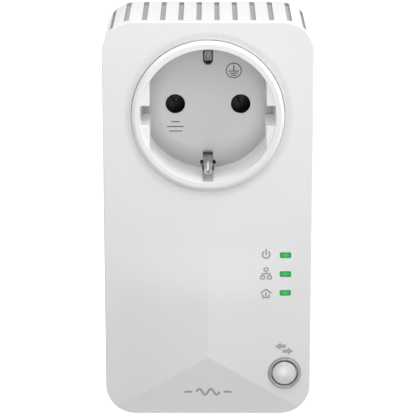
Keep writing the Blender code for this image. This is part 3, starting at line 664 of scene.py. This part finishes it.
def make_housing(finish, groove_shade_finish):
    """Rear shell with its vents, screw wells and openings for the plug, the jack and the label."""
    sections = [(PARTING_Y, housing_outline(PARTING_GAP)), (PARTING_Y + 0.14, housing_outline(0))]
    sections += rounded_rim(rear_outline, REAR_EDGE_R, -REAR_EDGE_R, REAR_Y, 8)
    housing = make("housing", loft(sections))
    cut(housing, loft([(PARTING_Y - 1, housing_outline(WALL_T)),
                       (INNER_BACK_Y, rear_outline(WALL_T))]))
    towers, wells = bmesh.new(), bmesh.new()
    well = [(1.6, -33), (1.6, SCREW_SEAT_Y), (2.6, SCREW_SEAT_Y), (2.6, REAR_Y - 0.3),
            (3.2, REAR_Y + 0.3)]
    for spot in SCREWS:
        rod(spot.x, spot.z, 3.1, TOWER_START_Y, REAR_Y - 0.5, 32, towers)
        turned(well, spot.x, spot.z, 32, bm=wells)
    join(housing, towers)
    cut(housing, wells)

    for x in vent_places():
        cut(housing, vent_cutter(x))

    openings = bmesh.new()
    rod(0, 0, BODY_PLUG_R + 0.15, REAR_Y - 4, REAR_Y + 1, 96, openings)
    jack_x = centre("rj45_jack").x
    prism(rounded_rect(JACK_HIGH.x - JACK_LOW.x + 0.5, 6, 0.2, jack_x, BOTTOM_Z + 2, 2),
          JACK_LOW.y - 0.25, JACK_HIGH.y + 0.25, openings)
    label_width, label_height = LABEL_HIGH.x - LABEL_LOW.x, LABEL_HIGH.z - LABEL_LOW.z
    prism(rounded_rect(label_width + 0.4, label_height + 0.4, 1.2, 0, LABEL_Z, 6),
          REAR_Y - 0.4, REAR_Y + 1, openings)
    cut(housing, openings)
    dress(housing, finish, replaces=["rear_housing"], angle=30)
    # painted shade: the groove floors get the grey finish in place of the white, for the shade in
    # the grooves
    housing.data.materials.append(groove_shade_finish)
    for face in housing.data.polygons:
        square_to_y = face.normal.y ** 2 < 0.01
        if square_to_y and abs(depth_below_top(face.center / MM) - VENT_DEPTH) < 0.2:
            face.material_index = 1


# ---- socket insert

def rib_outline(sx, sz):
    """Half of a side rib: flat towards the axis, round where it meets the wall."""
    face_x, notch_z, end_z, back_r = 16.65, 2.9, 10.05, 20.4
    low = math.degrees(math.asin(notch_z / back_r))
    high = math.degrees(math.asin(end_z / back_r))
    points = [(face_x, end_z), (face_x, notch_z)] + arc(0, 0, back_r, low, high, 10)
    return [(sx * x, sz * z) for x, z in points]


def make_well(finish):
    """Socket insert: ring, recess, side ribs, pin holes and the slots of the earth contacts."""
    corner = 0.5
    inner = RECESS_R + 0.05 - corner
    profile = [(inner, FLOOR_Y)]
    profile += arc(inner, FLOOR_Y - corner, corner, 90, 0, 4)[1:]
    profile += [(RECESS_R + 0.02, FLOOR_Y - 8)]
    profile += arc(RECESS_R + 0.2, RING_Y + 0.28, 0.2, 180, 262, 4)
    profile += [(20.75, RING_Y + 0.01), (20.92, RING_Y + 0.02), (21.02, RING_Y + 0.09)]
    profile += arc(RING_R - 0.4, RING_Y + 0.85, 0.4, 318, 360, 4)
    profile += [(RING_R, -45.0), (21.4, -45.0), (21.4, WELL_BACK_Y)]
    well = make("well", turned(profile, 0, 0, 192))
    ribs = bmesh.new()
    for sx in (-1, 1):
        for sz in (-1, 1):
            prism(rib_outline(sx, sz), RING_Y + 0.8, FLOOR_Y + 0.6, ribs)
    edges = [e for e in ribs.edges if all(v.co.y < FLOOR_Y for v in e.verts)
             or all(abs(v.co.x) < 16.7 for v in e.verts)]
    bmesh.ops.bevel(ribs, geom=edges, offset=0.28, segments=3, affect="EDGES", profile=0.5)
    join(well, ribs)
    bosses = bmesh.new()
    for spot in INSERT_SCREWS:
        rod(spot.x, spot.z, 2.6, FLOOR_Y + 1, WELL_HIGH.y, 24, bosses)
    join(well, bosses)

    holes = bmesh.new()
    for sx in (-1, 1):
        turned([(3.2, FLOOR_Y - 0.4), (2.9, FLOOR_Y), (2.85, FLOOR_Y + 0.06), (2.85, FLOOR_Y + 0.3),
                (3.7, FLOOR_Y + 1.2), (3.7, FLOOR_Y + 6)], sx * PIN_X, 0, 64, bm=holes)
    for spot in INSERT_SCREWS:
        rod(spot.x, spot.z, 1.2, FLOOR_Y + 0.8, FLOOR_Y + 8, 24, holes)
    cut(well, holes)
    cut(well, floor_slot(1, UPPER_SLOT_Z, True))
    cut(well, block(-SLOT_HALF, SLOT_HALF, FLOOR_Y - 1, FLOOR_Y + 0.9, -15.0, -LOWER_POCKET_Z))
    cut(well, floor_slot(-1, LOWER_SLOT_Z, False))
    for side in (-1, 1):
        cut(well, wall_slot(side))
        cut(well, block(-2.25, 2.25, FLOOR_Y - 0.5, FLOOR_Y + 6, side * 16.9, side * 18.2))
    dress(well, finish, replaces=["socket_well"], angle=32)


def floor_slot(side, start, round_end):
    """Slot of an earth clip in the recess floor."""
    outline = [(SLOT_HALF, 19.0), (-SLOT_HALF, 19.0)]
    if round_end:
        outline += arc(0, start + SLOT_HALF, SLOT_HALF, 180, 360, 12)
    else:
        outline += [(-SLOT_HALF, start), (SLOT_HALF, start)]
    return prism([(x, side * z) for x, z in outline], FLOOR_Y - 1, FLOOR_Y + 6)


def wall_slot(side):
    """Slot of an earth clip up the recess wall, narrower towards the ring."""
    sections = []
    for y, half in ((FLOOR_Y + 6, 1.72), (FLOOR_Y, 1.72), (RING_Y + 0.95, 1.5)):
        outline = [(-half, 18.4), (half, 18.4), (half, 20.5), (-half, 20.5)]
        sections.append((y, [(x, side * z) for x, z in outline]))
    return loft(sections)


def make_shutter(finish):
    """Black shutter whose arms carry a slanted facet behind each pin hole."""
    low, high = span("safety_shutter")
    reach, hub, half_angle = 13.0, 3.6, 19.0
    outline = []
    for start in (0, 180):
        outline += arc(0, 0, reach, start - half_angle, start + half_angle, 12)
        outline += arc(0, 0, hub, start + 40, start + 140, 8)
    shutter = make("shutter", prism(outline, low.y, low.y + 1.8))
    groove = [(-1.75, 3.2), (-1.3, 1.4), (-0.75, 0.3), (-0.25, -0.6), (-0.1, -3.4), (0.1, -3.4),
              (0.15, -0.5), (-0.15, 0.45), (-0.7, 1.3), (-1.0, 3.2)]
    facets = bmesh.new()
    for sx in (-1, 1):
        prism([(sx * PIN_X + x, z) for x, z in groove], low.y - 0.5, low.y + 1.2, facets)
    cut(shutter, facets)
    for sx in (-1, 1):
        wedge = block(0, 6, -2.0, 0.0, -5, 5)
        wedge.transform(Matrix.Translation((sx * PIN_X + 0.3, low.y + 0.9, 0)) @
                        Matrix.Rotation(math.radians(24), 4, "Y") @
                        Matrix.Rotation(math.radians(14), 4, "Z"))
        cut(shutter, wedge)
    join(shutter, rod(0, 0, 1.4, low.y + 1.4, high.y, 32))
    soften(shutter, 0.12)
    dress(shutter, finish, "safety_shutter", ["safety_shutter"], angle=30)


def smooth_path(points, steps=8, reach=0.45):
    """Path with every corner replaced by a curve that reaches part of the way to its neighbours."""
    spots = [Vector(p) for p in points]
    path = [spots[0]]
    for before, corner, after in zip(spots, spots[1:], spots[2:]):
        start = corner + (before - corner) * reach
        end = corner + (after - corner) * reach
        for i in range(steps + 1):
            t = i / steps
            path.append(start * (1 - t) ** 2 + corner * 2 * t * (1 - t) + end * t ** 2)
    return path + [spots[-1]]


def resample(path, spacing):
    """Points at an even spacing along a path."""
    points = [path[0]]
    carry = 0.0
    for a, b in zip(path, path[1:]):
        length = (b - a).length
        place = spacing - carry
        while place < length:
            points.append(a + (b - a) * (place / length))
            place += spacing
        carry = (carry + length) % spacing
    return points + [path[-1]]


def strip(path, half, thickness, press=None, side=1, across=2):
    """Metal strip across X along (z, y) points; press(u, travelled) shapes it square to itself."""
    bm = bmesh.new()
    rows = []
    travelled = 0.0
    for i, spot in enumerate(path):
        if i:
            travelled += (spot - path[i - 1]).length
        along = (path[min(i + 1, len(path) - 1)] - path[max(i - 1, 0)]).normalized()
        out = Vector((-along.y, along.x))
        front, back = [], []
        for k in range(across + 1):
            u = 2 * k / across - 1
            lift = press(u, travelled) if press else 0.0
            for row, face in ((front, 0.5), (back, -0.5)):
                z, y = spot + out * (lift + face * thickness)
                row.append(bm.verts.new((half(travelled) * u, y, side * z)))
        rows.append((front, back))
    for (front, back), (next_front, next_back) in zip(rows, rows[1:]):
        add_belt(bm, front + back[::-1], next_front + next_back[::-1])
    for front, back in (rows[0], rows[-1]):
        for k in range(across):
            bm.faces.new((front[k], front[k + 1], back[k + 1], back[k]))
    return bm


def make_clip(side, node, finish):
    """Sprung earth finger: rises from the floor and bends to the wall, its tip a pressed spoon."""
    route = [(18.2, -44.5), (15.3, -42.6), (15.0, -41.6), (15.1, -31.0), (15.9, -30.1),
             (18.9, -29.9)]
    path = resample(smooth_path(route), 0.16)
    spoon = 4.7

    def half(travelled):
        tip = 1.0 - travelled
        return max(0.3, math.sqrt(max(0.0, 1 - tip * tip))) if tip > 0 else 1.0

    def press(u, travelled):
        if travelled > spoon:
            return 0.0
        oval = math.hypot(u / 0.68, (travelled - spoon / 2) / (spoon / 2 - 0.35))
        dish = min(1.0, max(0.0, (1.0 - oval) / 0.42))
        rim = math.exp(-((oval - 1.12) / 0.16) ** 2)
        return -0.42 * dish * dish * (3 - 2 * dish) + 0.13 * rim

    clip = make(node.replace("earth_clip", "contact"), strip(path, half, 0.42, press, side, 24))
    smooth(clip, 50, weighted=False)
    dress(clip, finish, node, [node])

    hump = [(12.5, -30.2), (12.7, -31.2), (13.3, -31.9), (14.1, -31.9), (14.7, -31.2),
            (15.0, -30.2)]
    root = resample(smooth_path(hump, 6), 0.2)
    bend = make(node.replace("earth_clip", "contact_bend"),
                strip(root, lambda travelled: 1.05, 0.4, side=side))
    smooth(bend, 50, weighted=False)
    dress(bend, finish, node)


def make_bridge(finish):
    """Strap behind the insert whose upturned ends line the wall slots."""
    leg_z, back_y, front_y = 19.95, -24.2, -47.6
    leg = FLOOR_Y - front_y
    narrow, wide, flare = 1.2, 1.42, 0.22
    route = [(leg_z, front_y), (leg_z, FLOOR_Y), (leg_z, back_y), (-leg_z, back_y),
             (-leg_z, FLOOR_Y), (-leg_z, front_y)]
    path = resample(smooth_path(route, 6, 0.04), 0.5)
    length = sum((b - a).length for a, b in zip(path, path[1:]))

    def half(travelled):
        rest = min(travelled, length - travelled)
        return narrow if rest > leg else wide + flare * rest / leg

    bridge = make("earth_strap", strip(path, half, 0.4))
    for side in (-1, 1):
        join(bridge, block(-1.36, 1.36, FLOOR_Y + 0.7, FLOOR_Y + 1.1, side * 15.65, side * leg_z))
    dress(bridge, finish, replaces=["earth_bridge"], angle=40)


# ---- plug

def plug_outline(inset):
    """Round body with a flat and a guide rib on each side."""
    radius, flat_x, flat_z, rib_z = BODY_PLUG_R - inset, 16.3 - inset, 8.9, 2.5 - inset
    limit = math.degrees(math.asin(flat_z / radius))
    right = [(flat_x, -flat_z), (flat_x, -rib_z), (radius, -rib_z), (radius, rib_z),
             (flat_x, rib_z), (flat_x, flat_z)]
    left = [(-x, -z) for x, z in right]
    return (right + arc(0, 0, radius, limit, 180 - limit, 48) + left +
            arc(0, 0, radius, 180 + limit, 360 - limit, 48))


def make_plug(finishes):
    """Plug body, both pins and the earth strips in its grooves."""
    sections = [(PLUG_BASE_Y, plug_outline(0))]
    sections += rounded_rim(plug_outline, PLUG_EDGE_R, -PLUG_EDGE_R, 0, 6)
    body = make("plug", loft(sections))
    join(body, rod(0, 0, BODY_HIGH.x, BODY_LOW.y, INNER_BACK_Y - 0.3, 96))
    cut(body, rod(0, 0, 15.0, -23, -3.0, 64))
    holes = bmesh.new()
    pin_hole = [(PIN_R + 0.1, -4), (PIN_R + 0.1, -0.3), (PIN_R + 0.6, 0.3)]
    for sx in (-1, 1):
        turned(pin_hole, sx * PIN_X, 0, 40, bm=holes)
    cut(body, holes)
    for side in (-1, 1):
        cut(body, block(-3.1, 3.1, -23, -0.6, side * 16.65, side * 24.0))
    dress(body, finishes["socket_plastic"], replaces=["plug_body"], angle=30)

    tip = span("line_pin")[1].y
    profile = [(PIN_R, -12.1), (PIN_R, -4.9), (3.6, -4.9), (3.6, -3.3), (PIN_R, -3.3)]
    profile += arc(0, tip - PIN_R, PIN_R, 0, 86, 10)
    for node, sx in (("line_pin", -1), ("neutral_pin", 1)):
        pin = make(f"{node}_body", turned(profile, sx * PIN_X, 0, 56))
        dress(pin, finishes["nickel"], replaces=[node], angle=40)
    for node in ("plug_earth_strip_upper", "plug_earth_strip_lower"):
        low, high = span(node)
        plate = make(f"{node}_plate", block(low.x, high.x, low.y, high.y, low.z, high.z))
        middle = (low.z + high.z) / 2
        dimple = turned([(1.3, -0.4), (0.9, 0.35)], 0, 0, 24)
        dimple.transform(Matrix.Translation((0, -7.0, middle)) @
                         Matrix.Scale(math.copysign(1.0, middle), 4, (0, 0, 1)) @
                         Matrix.Rotation(math.radians(90), 4, "X"))
        join(plate, dimple)
        soften(plate, 0.12)
        dress(plate, finishes["contact_steel"], replaces=[node], angle=40)


# ---- controls

def make_windows(finish):
    """Light pipes with softly crowned ends."""
    for node in WINDOWS:
        low, high = span(node)
        width, height = high.x - low.x, high.z - low.z
        cx, cz = (low.x + high.x) / 2, (low.z + high.z) / 2

        def outline(inset):
            return rounded_rect(width - 2 * inset, height - 2 * inset, 0.35 - inset, cx, cz, 6)

        sections = [(high.y, outline(0))]
        sections += rounded_rim(outline, 0.28, 0.16, low.y - plate_rise(cx, cz), 5)
        window = make(node.replace("window", "light"), loft(sections))
        dress(window, finish, replaces=[node], angle=50)


def make_button(finishes):
    """Domed cap with a hidden flange, and the ring around it."""
    low, high = span("pair_button")
    flange_r = (high.x - low.x) / 2
    sphere = (CAP_R * CAP_R + CAP_DOME * CAP_DOME) / (2 * CAP_DOME)
    shoulder_y = low.y + CAP_DOME
    profile = [(flange_r, high.y), (flange_r, high.y - 1.2), (CAP_R, high.y - 1.2),
               (CAP_R, shoulder_y + 0.35)]
    profile += arc(CAP_R - 0.22, shoulder_y + 0.2, 0.22, 0, -70, 5)
    for i in range(8):
        r = (CAP_R - 0.3) * (1 - i / 8)
        y = low.y + sphere - math.sqrt(sphere * sphere - r * r)
        profile.append((r, y))
    cap = make("button_cap", turned(profile, CONTROL_X, BUTTON_Z, 72))
    dress(cap, finishes["button_satin"], "pair_button", ["pair_button"], angle=40)

    low, high = span("button_bezel")
    outer = (high.x - low.x) / 2 - 0.15
    top = low.y
    profile = [(BEZEL_HOLE_R, high.y), (BEZEL_HOLE_R, top + 0.75)]
    profile += arc(BEZEL_HOLE_R + 0.3, top + 0.42, 0.22, 180, 262, 4)
    profile += [(outer - 0.4, top + 0.02)]
    profile += arc(outer - 0.2, top + 0.24, 0.2, 270, 360, 4)
    profile += [(outer, high.y)]
    bezel = make("bezel", turned(profile, CONTROL_X, BUTTON_Z, 72, closed=True))
    smooth(bezel, 50, weighted=False)
    dress(bezel, finishes["bezel_grey"], replaces=["button_bezel"])


# ---- printed marks

def ribbon(points, width, closed):
    """Flat band of an even width along XZ points, as (left, right) pairs."""
    spots = [Vector(p) for p in points]
    count = len(spots)
    pairs = []
    for i, spot in enumerate(spots):
        before = spots[(i - 1) % count] if closed or i else spot
        after = spots[(i + 1) % count] if closed or i < count - 1 else spot
        a = (spot - before).normalized() if before != spot else (after - spot).normalized()
        b = (after - spot).normalized() if after != spot else a
        along = (a + b).normalized()
        side = Vector((-along.y, along.x))
        stretch = 1 / max(0.5, side.dot(Vector((-a.y, a.x))))
        pairs.append((spot + side * width / 2 * stretch, spot - side * width / 2 * stretch))
    return pairs


def add_band(bm, pairs, surface, closed):
    """Thin printed band laid on a surface given as y(x, z)."""
    rings = []
    for left, right in pairs:
        ring = []
        for spot, lift in ((left, FILM), (right, FILM), (right, -FILM_ROOT), (left, -FILM_ROOT)):
            ring.append(bm.verts.new((spot.x, surface(spot.x, spot.y) - lift, spot.y)))
        rings.append(ring)
    joints = list(zip(rings, rings[1:]))
    if closed:
        joints.append((rings[-1], rings[0]))
    for first, second in joints:
        add_belt(bm, first, second)
    if not closed:
        bm.faces.new(rings[0])
        bm.faces.new(rings[-1][::-1])


def add_patch(bm, outline, surface):
    """Thin printed area inside an outline of XZ points."""
    top = [bm.verts.new((x, surface(x, z) - FILM, z)) for x, z in outline]
    bottom = [bm.verts.new((x, surface(x, z) + FILM_ROOT, z)) for x, z in outline]
    bm.faces.new(top)
    bm.faces.new(bottom[::-1])
    add_belt(bm, top, bottom)


def split_line(a, b):
    """Straight line in short steps, so that it follows the folds."""
    a, b = Vector(a), Vector(b)
    return [tuple(a + (b - a) * i / 6) for i in range(7)]


def front_surface(x, z):
    """Height along Y of the folded front."""
    return PLATE_Y - plate_rise(x, z)


def draw(name, strokes, patches, surface, finish):
    """One printed mark made of strokes [(points, width, closed), ...] and filled outlines."""
    bm = bmesh.new()
    for points, width, closed in strokes:
        add_band(bm, ribbon(points, width, closed), surface, closed)
    for outline in patches:
        add_patch(bm, outline, surface)
    dress(make(name, bm), finish)


def line(x0, z0, x1, z1, width):
    """Straight stroke of a printed mark."""
    return [(x0, z0), (x1, z1)], width, False


def power_icon(cx, cz):
    return [(arc(cx, cz + 0.22, 1.06, 125, 415, 28), 0.46, False),
            line(cx, cz + 1.92, cx, cz + 0.05, 0.46)]


def network_icon(cx, cz):
    side = 0.99
    boxes = ((cx, cz + 1.46), (cx - side, cz - 0.92), (cx + side, cz - 0.92))
    strokes = [(rounded_rect(1.14, 0.9, 0.16, x, z, 2), 0.38, True) for x, z in boxes]
    strokes += [line(cx, cz + 0.95, cx, cz + 0.15, 0.38),
                line(cx - 1.4, cz + 0.17, cx + 1.4, cz + 0.17, 0.36)]
    return strokes + [line(x, cz + 0.1, x, cz - 0.4, 0.4) for x in (cx - side, cx + side)]


def house_icon(cx, cz):
    roof = [(cx - 1.6, cz - 0.02), (cx, cz + 1.18), (cx + 1.6, cz - 0.02)]
    base = [(cx - 0.93, cz - 0.3), (cx - 0.93, cz - 1.3), (cx + 0.93, cz - 1.3),
            (cx + 0.93, cz - 0.3)]
    stem = line(cx, cz + 0.3, cx, cz - 1.2, 0.46)
    return [(roof, 0.44, False), (base, 0.42, False), stem]


def arrow_patch(tip, direction, length, head, half_head, half_tail):
    """Outline of a solid arrow that points along X."""
    x, z = tip
    d = -direction
    return [(x, z), (x + d * head, z + half_head), (x + d * head, z + half_tail),
            (x + d * length, z + half_tail), (x + d * length, z - half_tail),
            (x + d * head, z - half_tail), (x + d * head, z - half_head)]


def make_marks():
    """Icons, arrows and plain motifs printed on the front and the recess floor."""
    icon_ink = ink("icon_ink", (0.36, 0.36, 0.36))
    icon_x = CONTROL_X - 5.62
    icons = ((power_icon, "power"), (network_icon, "network"), (house_icon, "lan"))
    for icon, label in icons:
        strokes = icon(icon_x, centre(f"{label}_window").z)
        draw(f"{label}_icon", strokes, [], front_surface, icon_ink)
    arrows = [arrow_patch((19.6, -69.25), -1, 3.2, 1.75, 1.18, 0.52),
              arrow_patch((25.05, -70.8), 1, 3.2, 1.7, 1.18, 0.52)]
    draw("pair_arrows", [], arrows, front_surface, ink("arrow_ink", (0.42, 0.42, 0.42)))

    wave_z = -83.4
    wave = [(-3.4 + 6.8 * i / 40, wave_z + 0.95 * math.sin(4 * math.pi * i / 40))
            for i in range(41)]
    dashes = [split_line((-6.9, wave_z), (-4.6, wave_z)), split_line((4.6, wave_z), (6.9, wave_z))]
    draw("wave_motif", [(path, 0.62, False) for path in (wave, *dashes)], [], front_surface,
         ink("motif_ink", (0.38, 0.38, 0.38)))

    def floor(_x, _z):
        return FLOOR_Y

    socket_ink = ink("socket_ink", (0.11, 0.11, 0.11))
    cx, cz = 7.47, 9.93
    earth = [(circle(cx, cz, 2.17, 40), 0.3, True), line(cx, cz + 1.62, cx, cz - 0.1, 0.34)]
    earth += [line(cx - half, cz - drop, cx + half, cz - drop, 0.3)
              for drop, half in ((0.18, 1.5), (0.81, 1.2), (1.44, 0.82))]
    draw("earth_mark", earth, [], floor, socket_ink)
    lines = [line(x - half, z, x + half, z, 0.3)
             for x, z, half in ((-9.5, -5.35, 1.2), (-9.55, -6.8, 2.45), (-9.44, -8.15, 1.9))]
    draw("line_mark", lines, [], floor, socket_ink)


# ---- back and bottom details

def make_jack(finishes):
    """Network jack in the bottom edge, with its spring contacts."""
    low, high = JACK_LOW, JACK_HIGH
    jack = make("jack_shell", block(low.x, high.x, low.y, high.y, low.z, high.z))
    cx = (low.x + high.x) / 2
    front_y = low.y + 2.0
    soften(jack, 0.25)
    cut(jack, block(cx - 5.95, cx + 5.95, front_y, front_y + 6.9, low.z - 1, low.z + 13))
    cut(jack, block(cx - 3.1, cx + 3.1, front_y + 6.0, front_y + 8.6, low.z - 1.1, low.z + 9))
    dress(jack, finishes["nickel"], replaces=["rj45_jack"], angle=30)
    contacts = bmesh.new()
    pitch, half, tip_z, root_z = 1.02, 0.17, low.z + 3.0, low.z + 12.8
    for i in range(8):
        x = cx + (i - 3.5) * pitch
        wire = [(x - half, tip_z), (x + half, tip_z), (x + half, root_z), (x - half, root_z)]
        prism(wire, front_y + 0.25, front_y + 0.6, contacts)
    for vert in contacts.verts:
        vert.co.y += 1.9 * max(0.0, 1 - (vert.co.z - tip_z) / (root_z - tip_z))
    gold = make("jack_contacts", contacts)
    dress(gold, finishes["brass"], angle=30)


def make_screws(finish):
    """Cross-slotted screws in the back, each turned differently."""
    profile = [(0.6, -40.6), (1.25, -39.6), (1.25, -29.9), (2.3, -29.9), (2.3, -29.2),
               (2.15, -28.75), (1.8, -28.4), (1.3, -28.2)]
    for index, spot in enumerate(SCREWS, 1):
        screw = make(f"screw_{index}", turned(profile, spot.x, spot.z, 40))
        for turn in (0, 90):
            slot = block(-1.35, 1.35, -29.1, -27.5, -0.28, 0.28)
            slot.transform(Matrix.Translation((spot.x, 0, spot.z)) @
                           Matrix.Rotation(math.radians(turn + 20 * index), 4, "Y"))
            cut(screw, slot)
        dress(screw, finish, replaces=[f"housing_screw_{index}"], angle=35)


def make_label(finish):
    """Blank label on the back, with a printed frame and two empty squares."""
    width, height = LABEL_HIGH.x - LABEL_LOW.x, LABEL_HIGH.z - LABEL_LOW.z
    label = make("label", prism(rounded_rect(width, height, 1.0, 0, LABEL_Z, 8),
                                LABEL_LOW.y, LABEL_HIGH.y))
    dress(label, finish, replaces=["rating_label"], angle=35)

    def face(_x, _z):
        return LABEL_HIGH.y + 0.006

    lines = [(rounded_rect(width - 2.4, height - 2.4, 0.6, 0, LABEL_Z, 6), 0.18, True)]
    lines += [(rounded_rect(3.4, 3.4, 0.2, x, LABEL_Z + 6.6, 2), 0.2, True)
              for x in (-11.2, -6.6)]
    draw("label_frame", lines, [], face, ink("label_ink", (0.10, 0.10, 0.10)))


# ---- inner pieces that keep their CAD shape

def dress_inner(finishes):
    """The remaining CAD nodes get the finish of their slot."""
    for entry in frame["record"]["subparts"]:
        item = frame["nodes"][entry["node"]]
        if item.hide_render:
            continue
        item.data.materials.clear()
        item.data.materials.append(finishes[entry["material_slot"]])


# ---- stage

# Camera: its place from the plate's face and the housing's top, and its tilt in degrees
CAMERA_DISTANCE = 611.93
CAMERA_RISE = 122.50
CAMERA_TILT = 16.117
FOCAL_LENGTH = 191.5
SENSOR_WIDTH = 36.0

# Floor: half its side, and its drop under the adapter
FLOOR_HALF = 12000
FLOOR_DROP = 400

WORLD_STRENGTH = 0.22
PLATE_MIDDLE_DROP = 57.1  # under the housing's top

# Softboxes by name: distance in metres, elevation and azimuth in degrees from the front plate's
# middle, size in metres, power in watts
SOFTBOXES = {
    "under_front": (0.45, -15, 0, (0.16, 0.16), 0.30),
    "overhead": (0.40, 78, 0, (0.16, 0.16), 0.32),
    "near_high": (0.22, 45, 0, (0.10, 0.10), 0.10),
    "near_left": (0.22, 45, -60, (0.10, 0.10), 0.075),
    "near_right": (0.22, 10, 60, (0.10, 0.10), 0.055),
    "side_right": (0.30, 10, 90, (0.10, 0.10), 0.36),
    "high_right": (0.40, 55, 70, (0.16, 0.16), 0.56),
    "rear_left": (0.60, 30, -140, (0.30, 0.30), 1.2),
    "rear_right": (0.60, 30, 140, (0.30, 0.30), 0.9),
}


def add_area(name, place, target, size, power):
    """Softbox at a place in metres, turned to its target."""
    data = bpy.data.lights.new(name, "AREA")
    data.shape = "RECTANGLE"
    data.size, data.size_y = size
    data.energy = power
    lamp = bpy.data.objects.new(name, data)
    lamp.location = place
    lamp.rotation_euler = (Vector(target) - Vector(place)).to_track_quat("-Z", "Y").to_euler()
    bpy.context.scene.collection.objects.link(lamp)


def make_floor():
    """Pale floor that glows softly, most of all behind the adapter, like a lit backdrop."""
    g = Graph("floor")
    around = g.remap(g.vector("LENGTH", g.coords)["Value"], 0.9, 1.8, 0.1, 0.45)
    behind = g.remap(g.axis("Y"), 0.1, 0.9, 0.0, 1.0)
    glow = g.mix(behind, g.mix(around, (0, 0, 0), (1, 1, 1)), (1, 1, 1))
    g.set(Base_Color=g.mix(g.noise(4, 2), (0.90, 0.90, 0.90), (0.92, 0.92, 0.92)), Roughness=0.9,
          Emission_Color=glow, Emission_Strength=1.0)
    bm = bmesh.new()
    bmesh.ops.create_grid(bm, x_segments=8, y_segments=8, size=FLOOR_HALF)
    bm.transform(Matrix.Translation((0, 0, BOTTOM_Z - FLOOR_DROP)))
    floor = make("floor", bm)
    floor.data.materials.append(g.material)


def make_lights():
    """White surroundings and the softboxes."""
    world = bpy.data.worlds.new("studio")
    world.use_nodes = True
    world.node_tree.nodes["Background"].inputs["Color"].default_value = (1, 1, 1, 1)
    world.node_tree.nodes["Background"].inputs["Strength"].default_value = WORLD_STRENGTH
    bpy.context.scene.world = world

    middle = Vector((0, PLATE_Y, TOP_Z - PLATE_MIDDLE_DROP)) * MM
    for name, (distance, elevation, azimuth, size, power) in SOFTBOXES.items():
        up, side = math.radians(elevation), math.radians(azimuth)
        away = Vector((math.sin(side) * math.cos(up), -math.cos(side) * math.cos(up), math.sin(up)))
        add_area(name, middle + distance * away, middle, size, power)
    add_area("top", (0, 0.10, 0.40), (0, -0.03, 0.02), (0.30, 0.15), 0.30)


def make_camera():
    """Camera at the photograph's height, distance and tilt."""
    camera_data = bpy.data.cameras.new("camera")
    camera_data.sensor_width = SENSOR_WIDTH
    camera_data.lens = FOCAL_LENGTH
    camera = bpy.data.objects.new("camera", camera_data)
    camera.location = (0, (PLATE_Y - CAMERA_DISTANCE) * MM, (TOP_Z + CAMERA_RISE) * MM)
    camera.rotation_euler = (math.radians(90 - CAMERA_TILT), 0, 0)
    bpy.context.scene.collection.objects.link(camera)
    bpy.context.scene.camera = camera


def main():
    bpy.context.scene.view_settings.view_transform = "Standard"
    finishes = make_finishes()
    make_cover(finishes["white_shell"])
    make_housing(finishes["white_shell"], finishes["vent_shade_grey"])
    make_well(finishes["socket_plastic"])
    make_shutter(finishes["shutter_black"])
    make_clip(1, "earth_clip_upper", finishes["contact_steel"])
    make_clip(-1, "earth_clip_lower", finishes["contact_steel"])
    make_bridge(finishes["strap_steel"])
    make_plug(finishes)
    make_windows(finishes["window_green"])
    make_button(finishes)
    make_marks()
    make_jack(finishes)
    make_screws(finishes["screw_steel"])
    make_label(finishes["label_silver"])
    dress_inner(finishes)
    make_floor()
    make_lights()
    make_camera()


main()
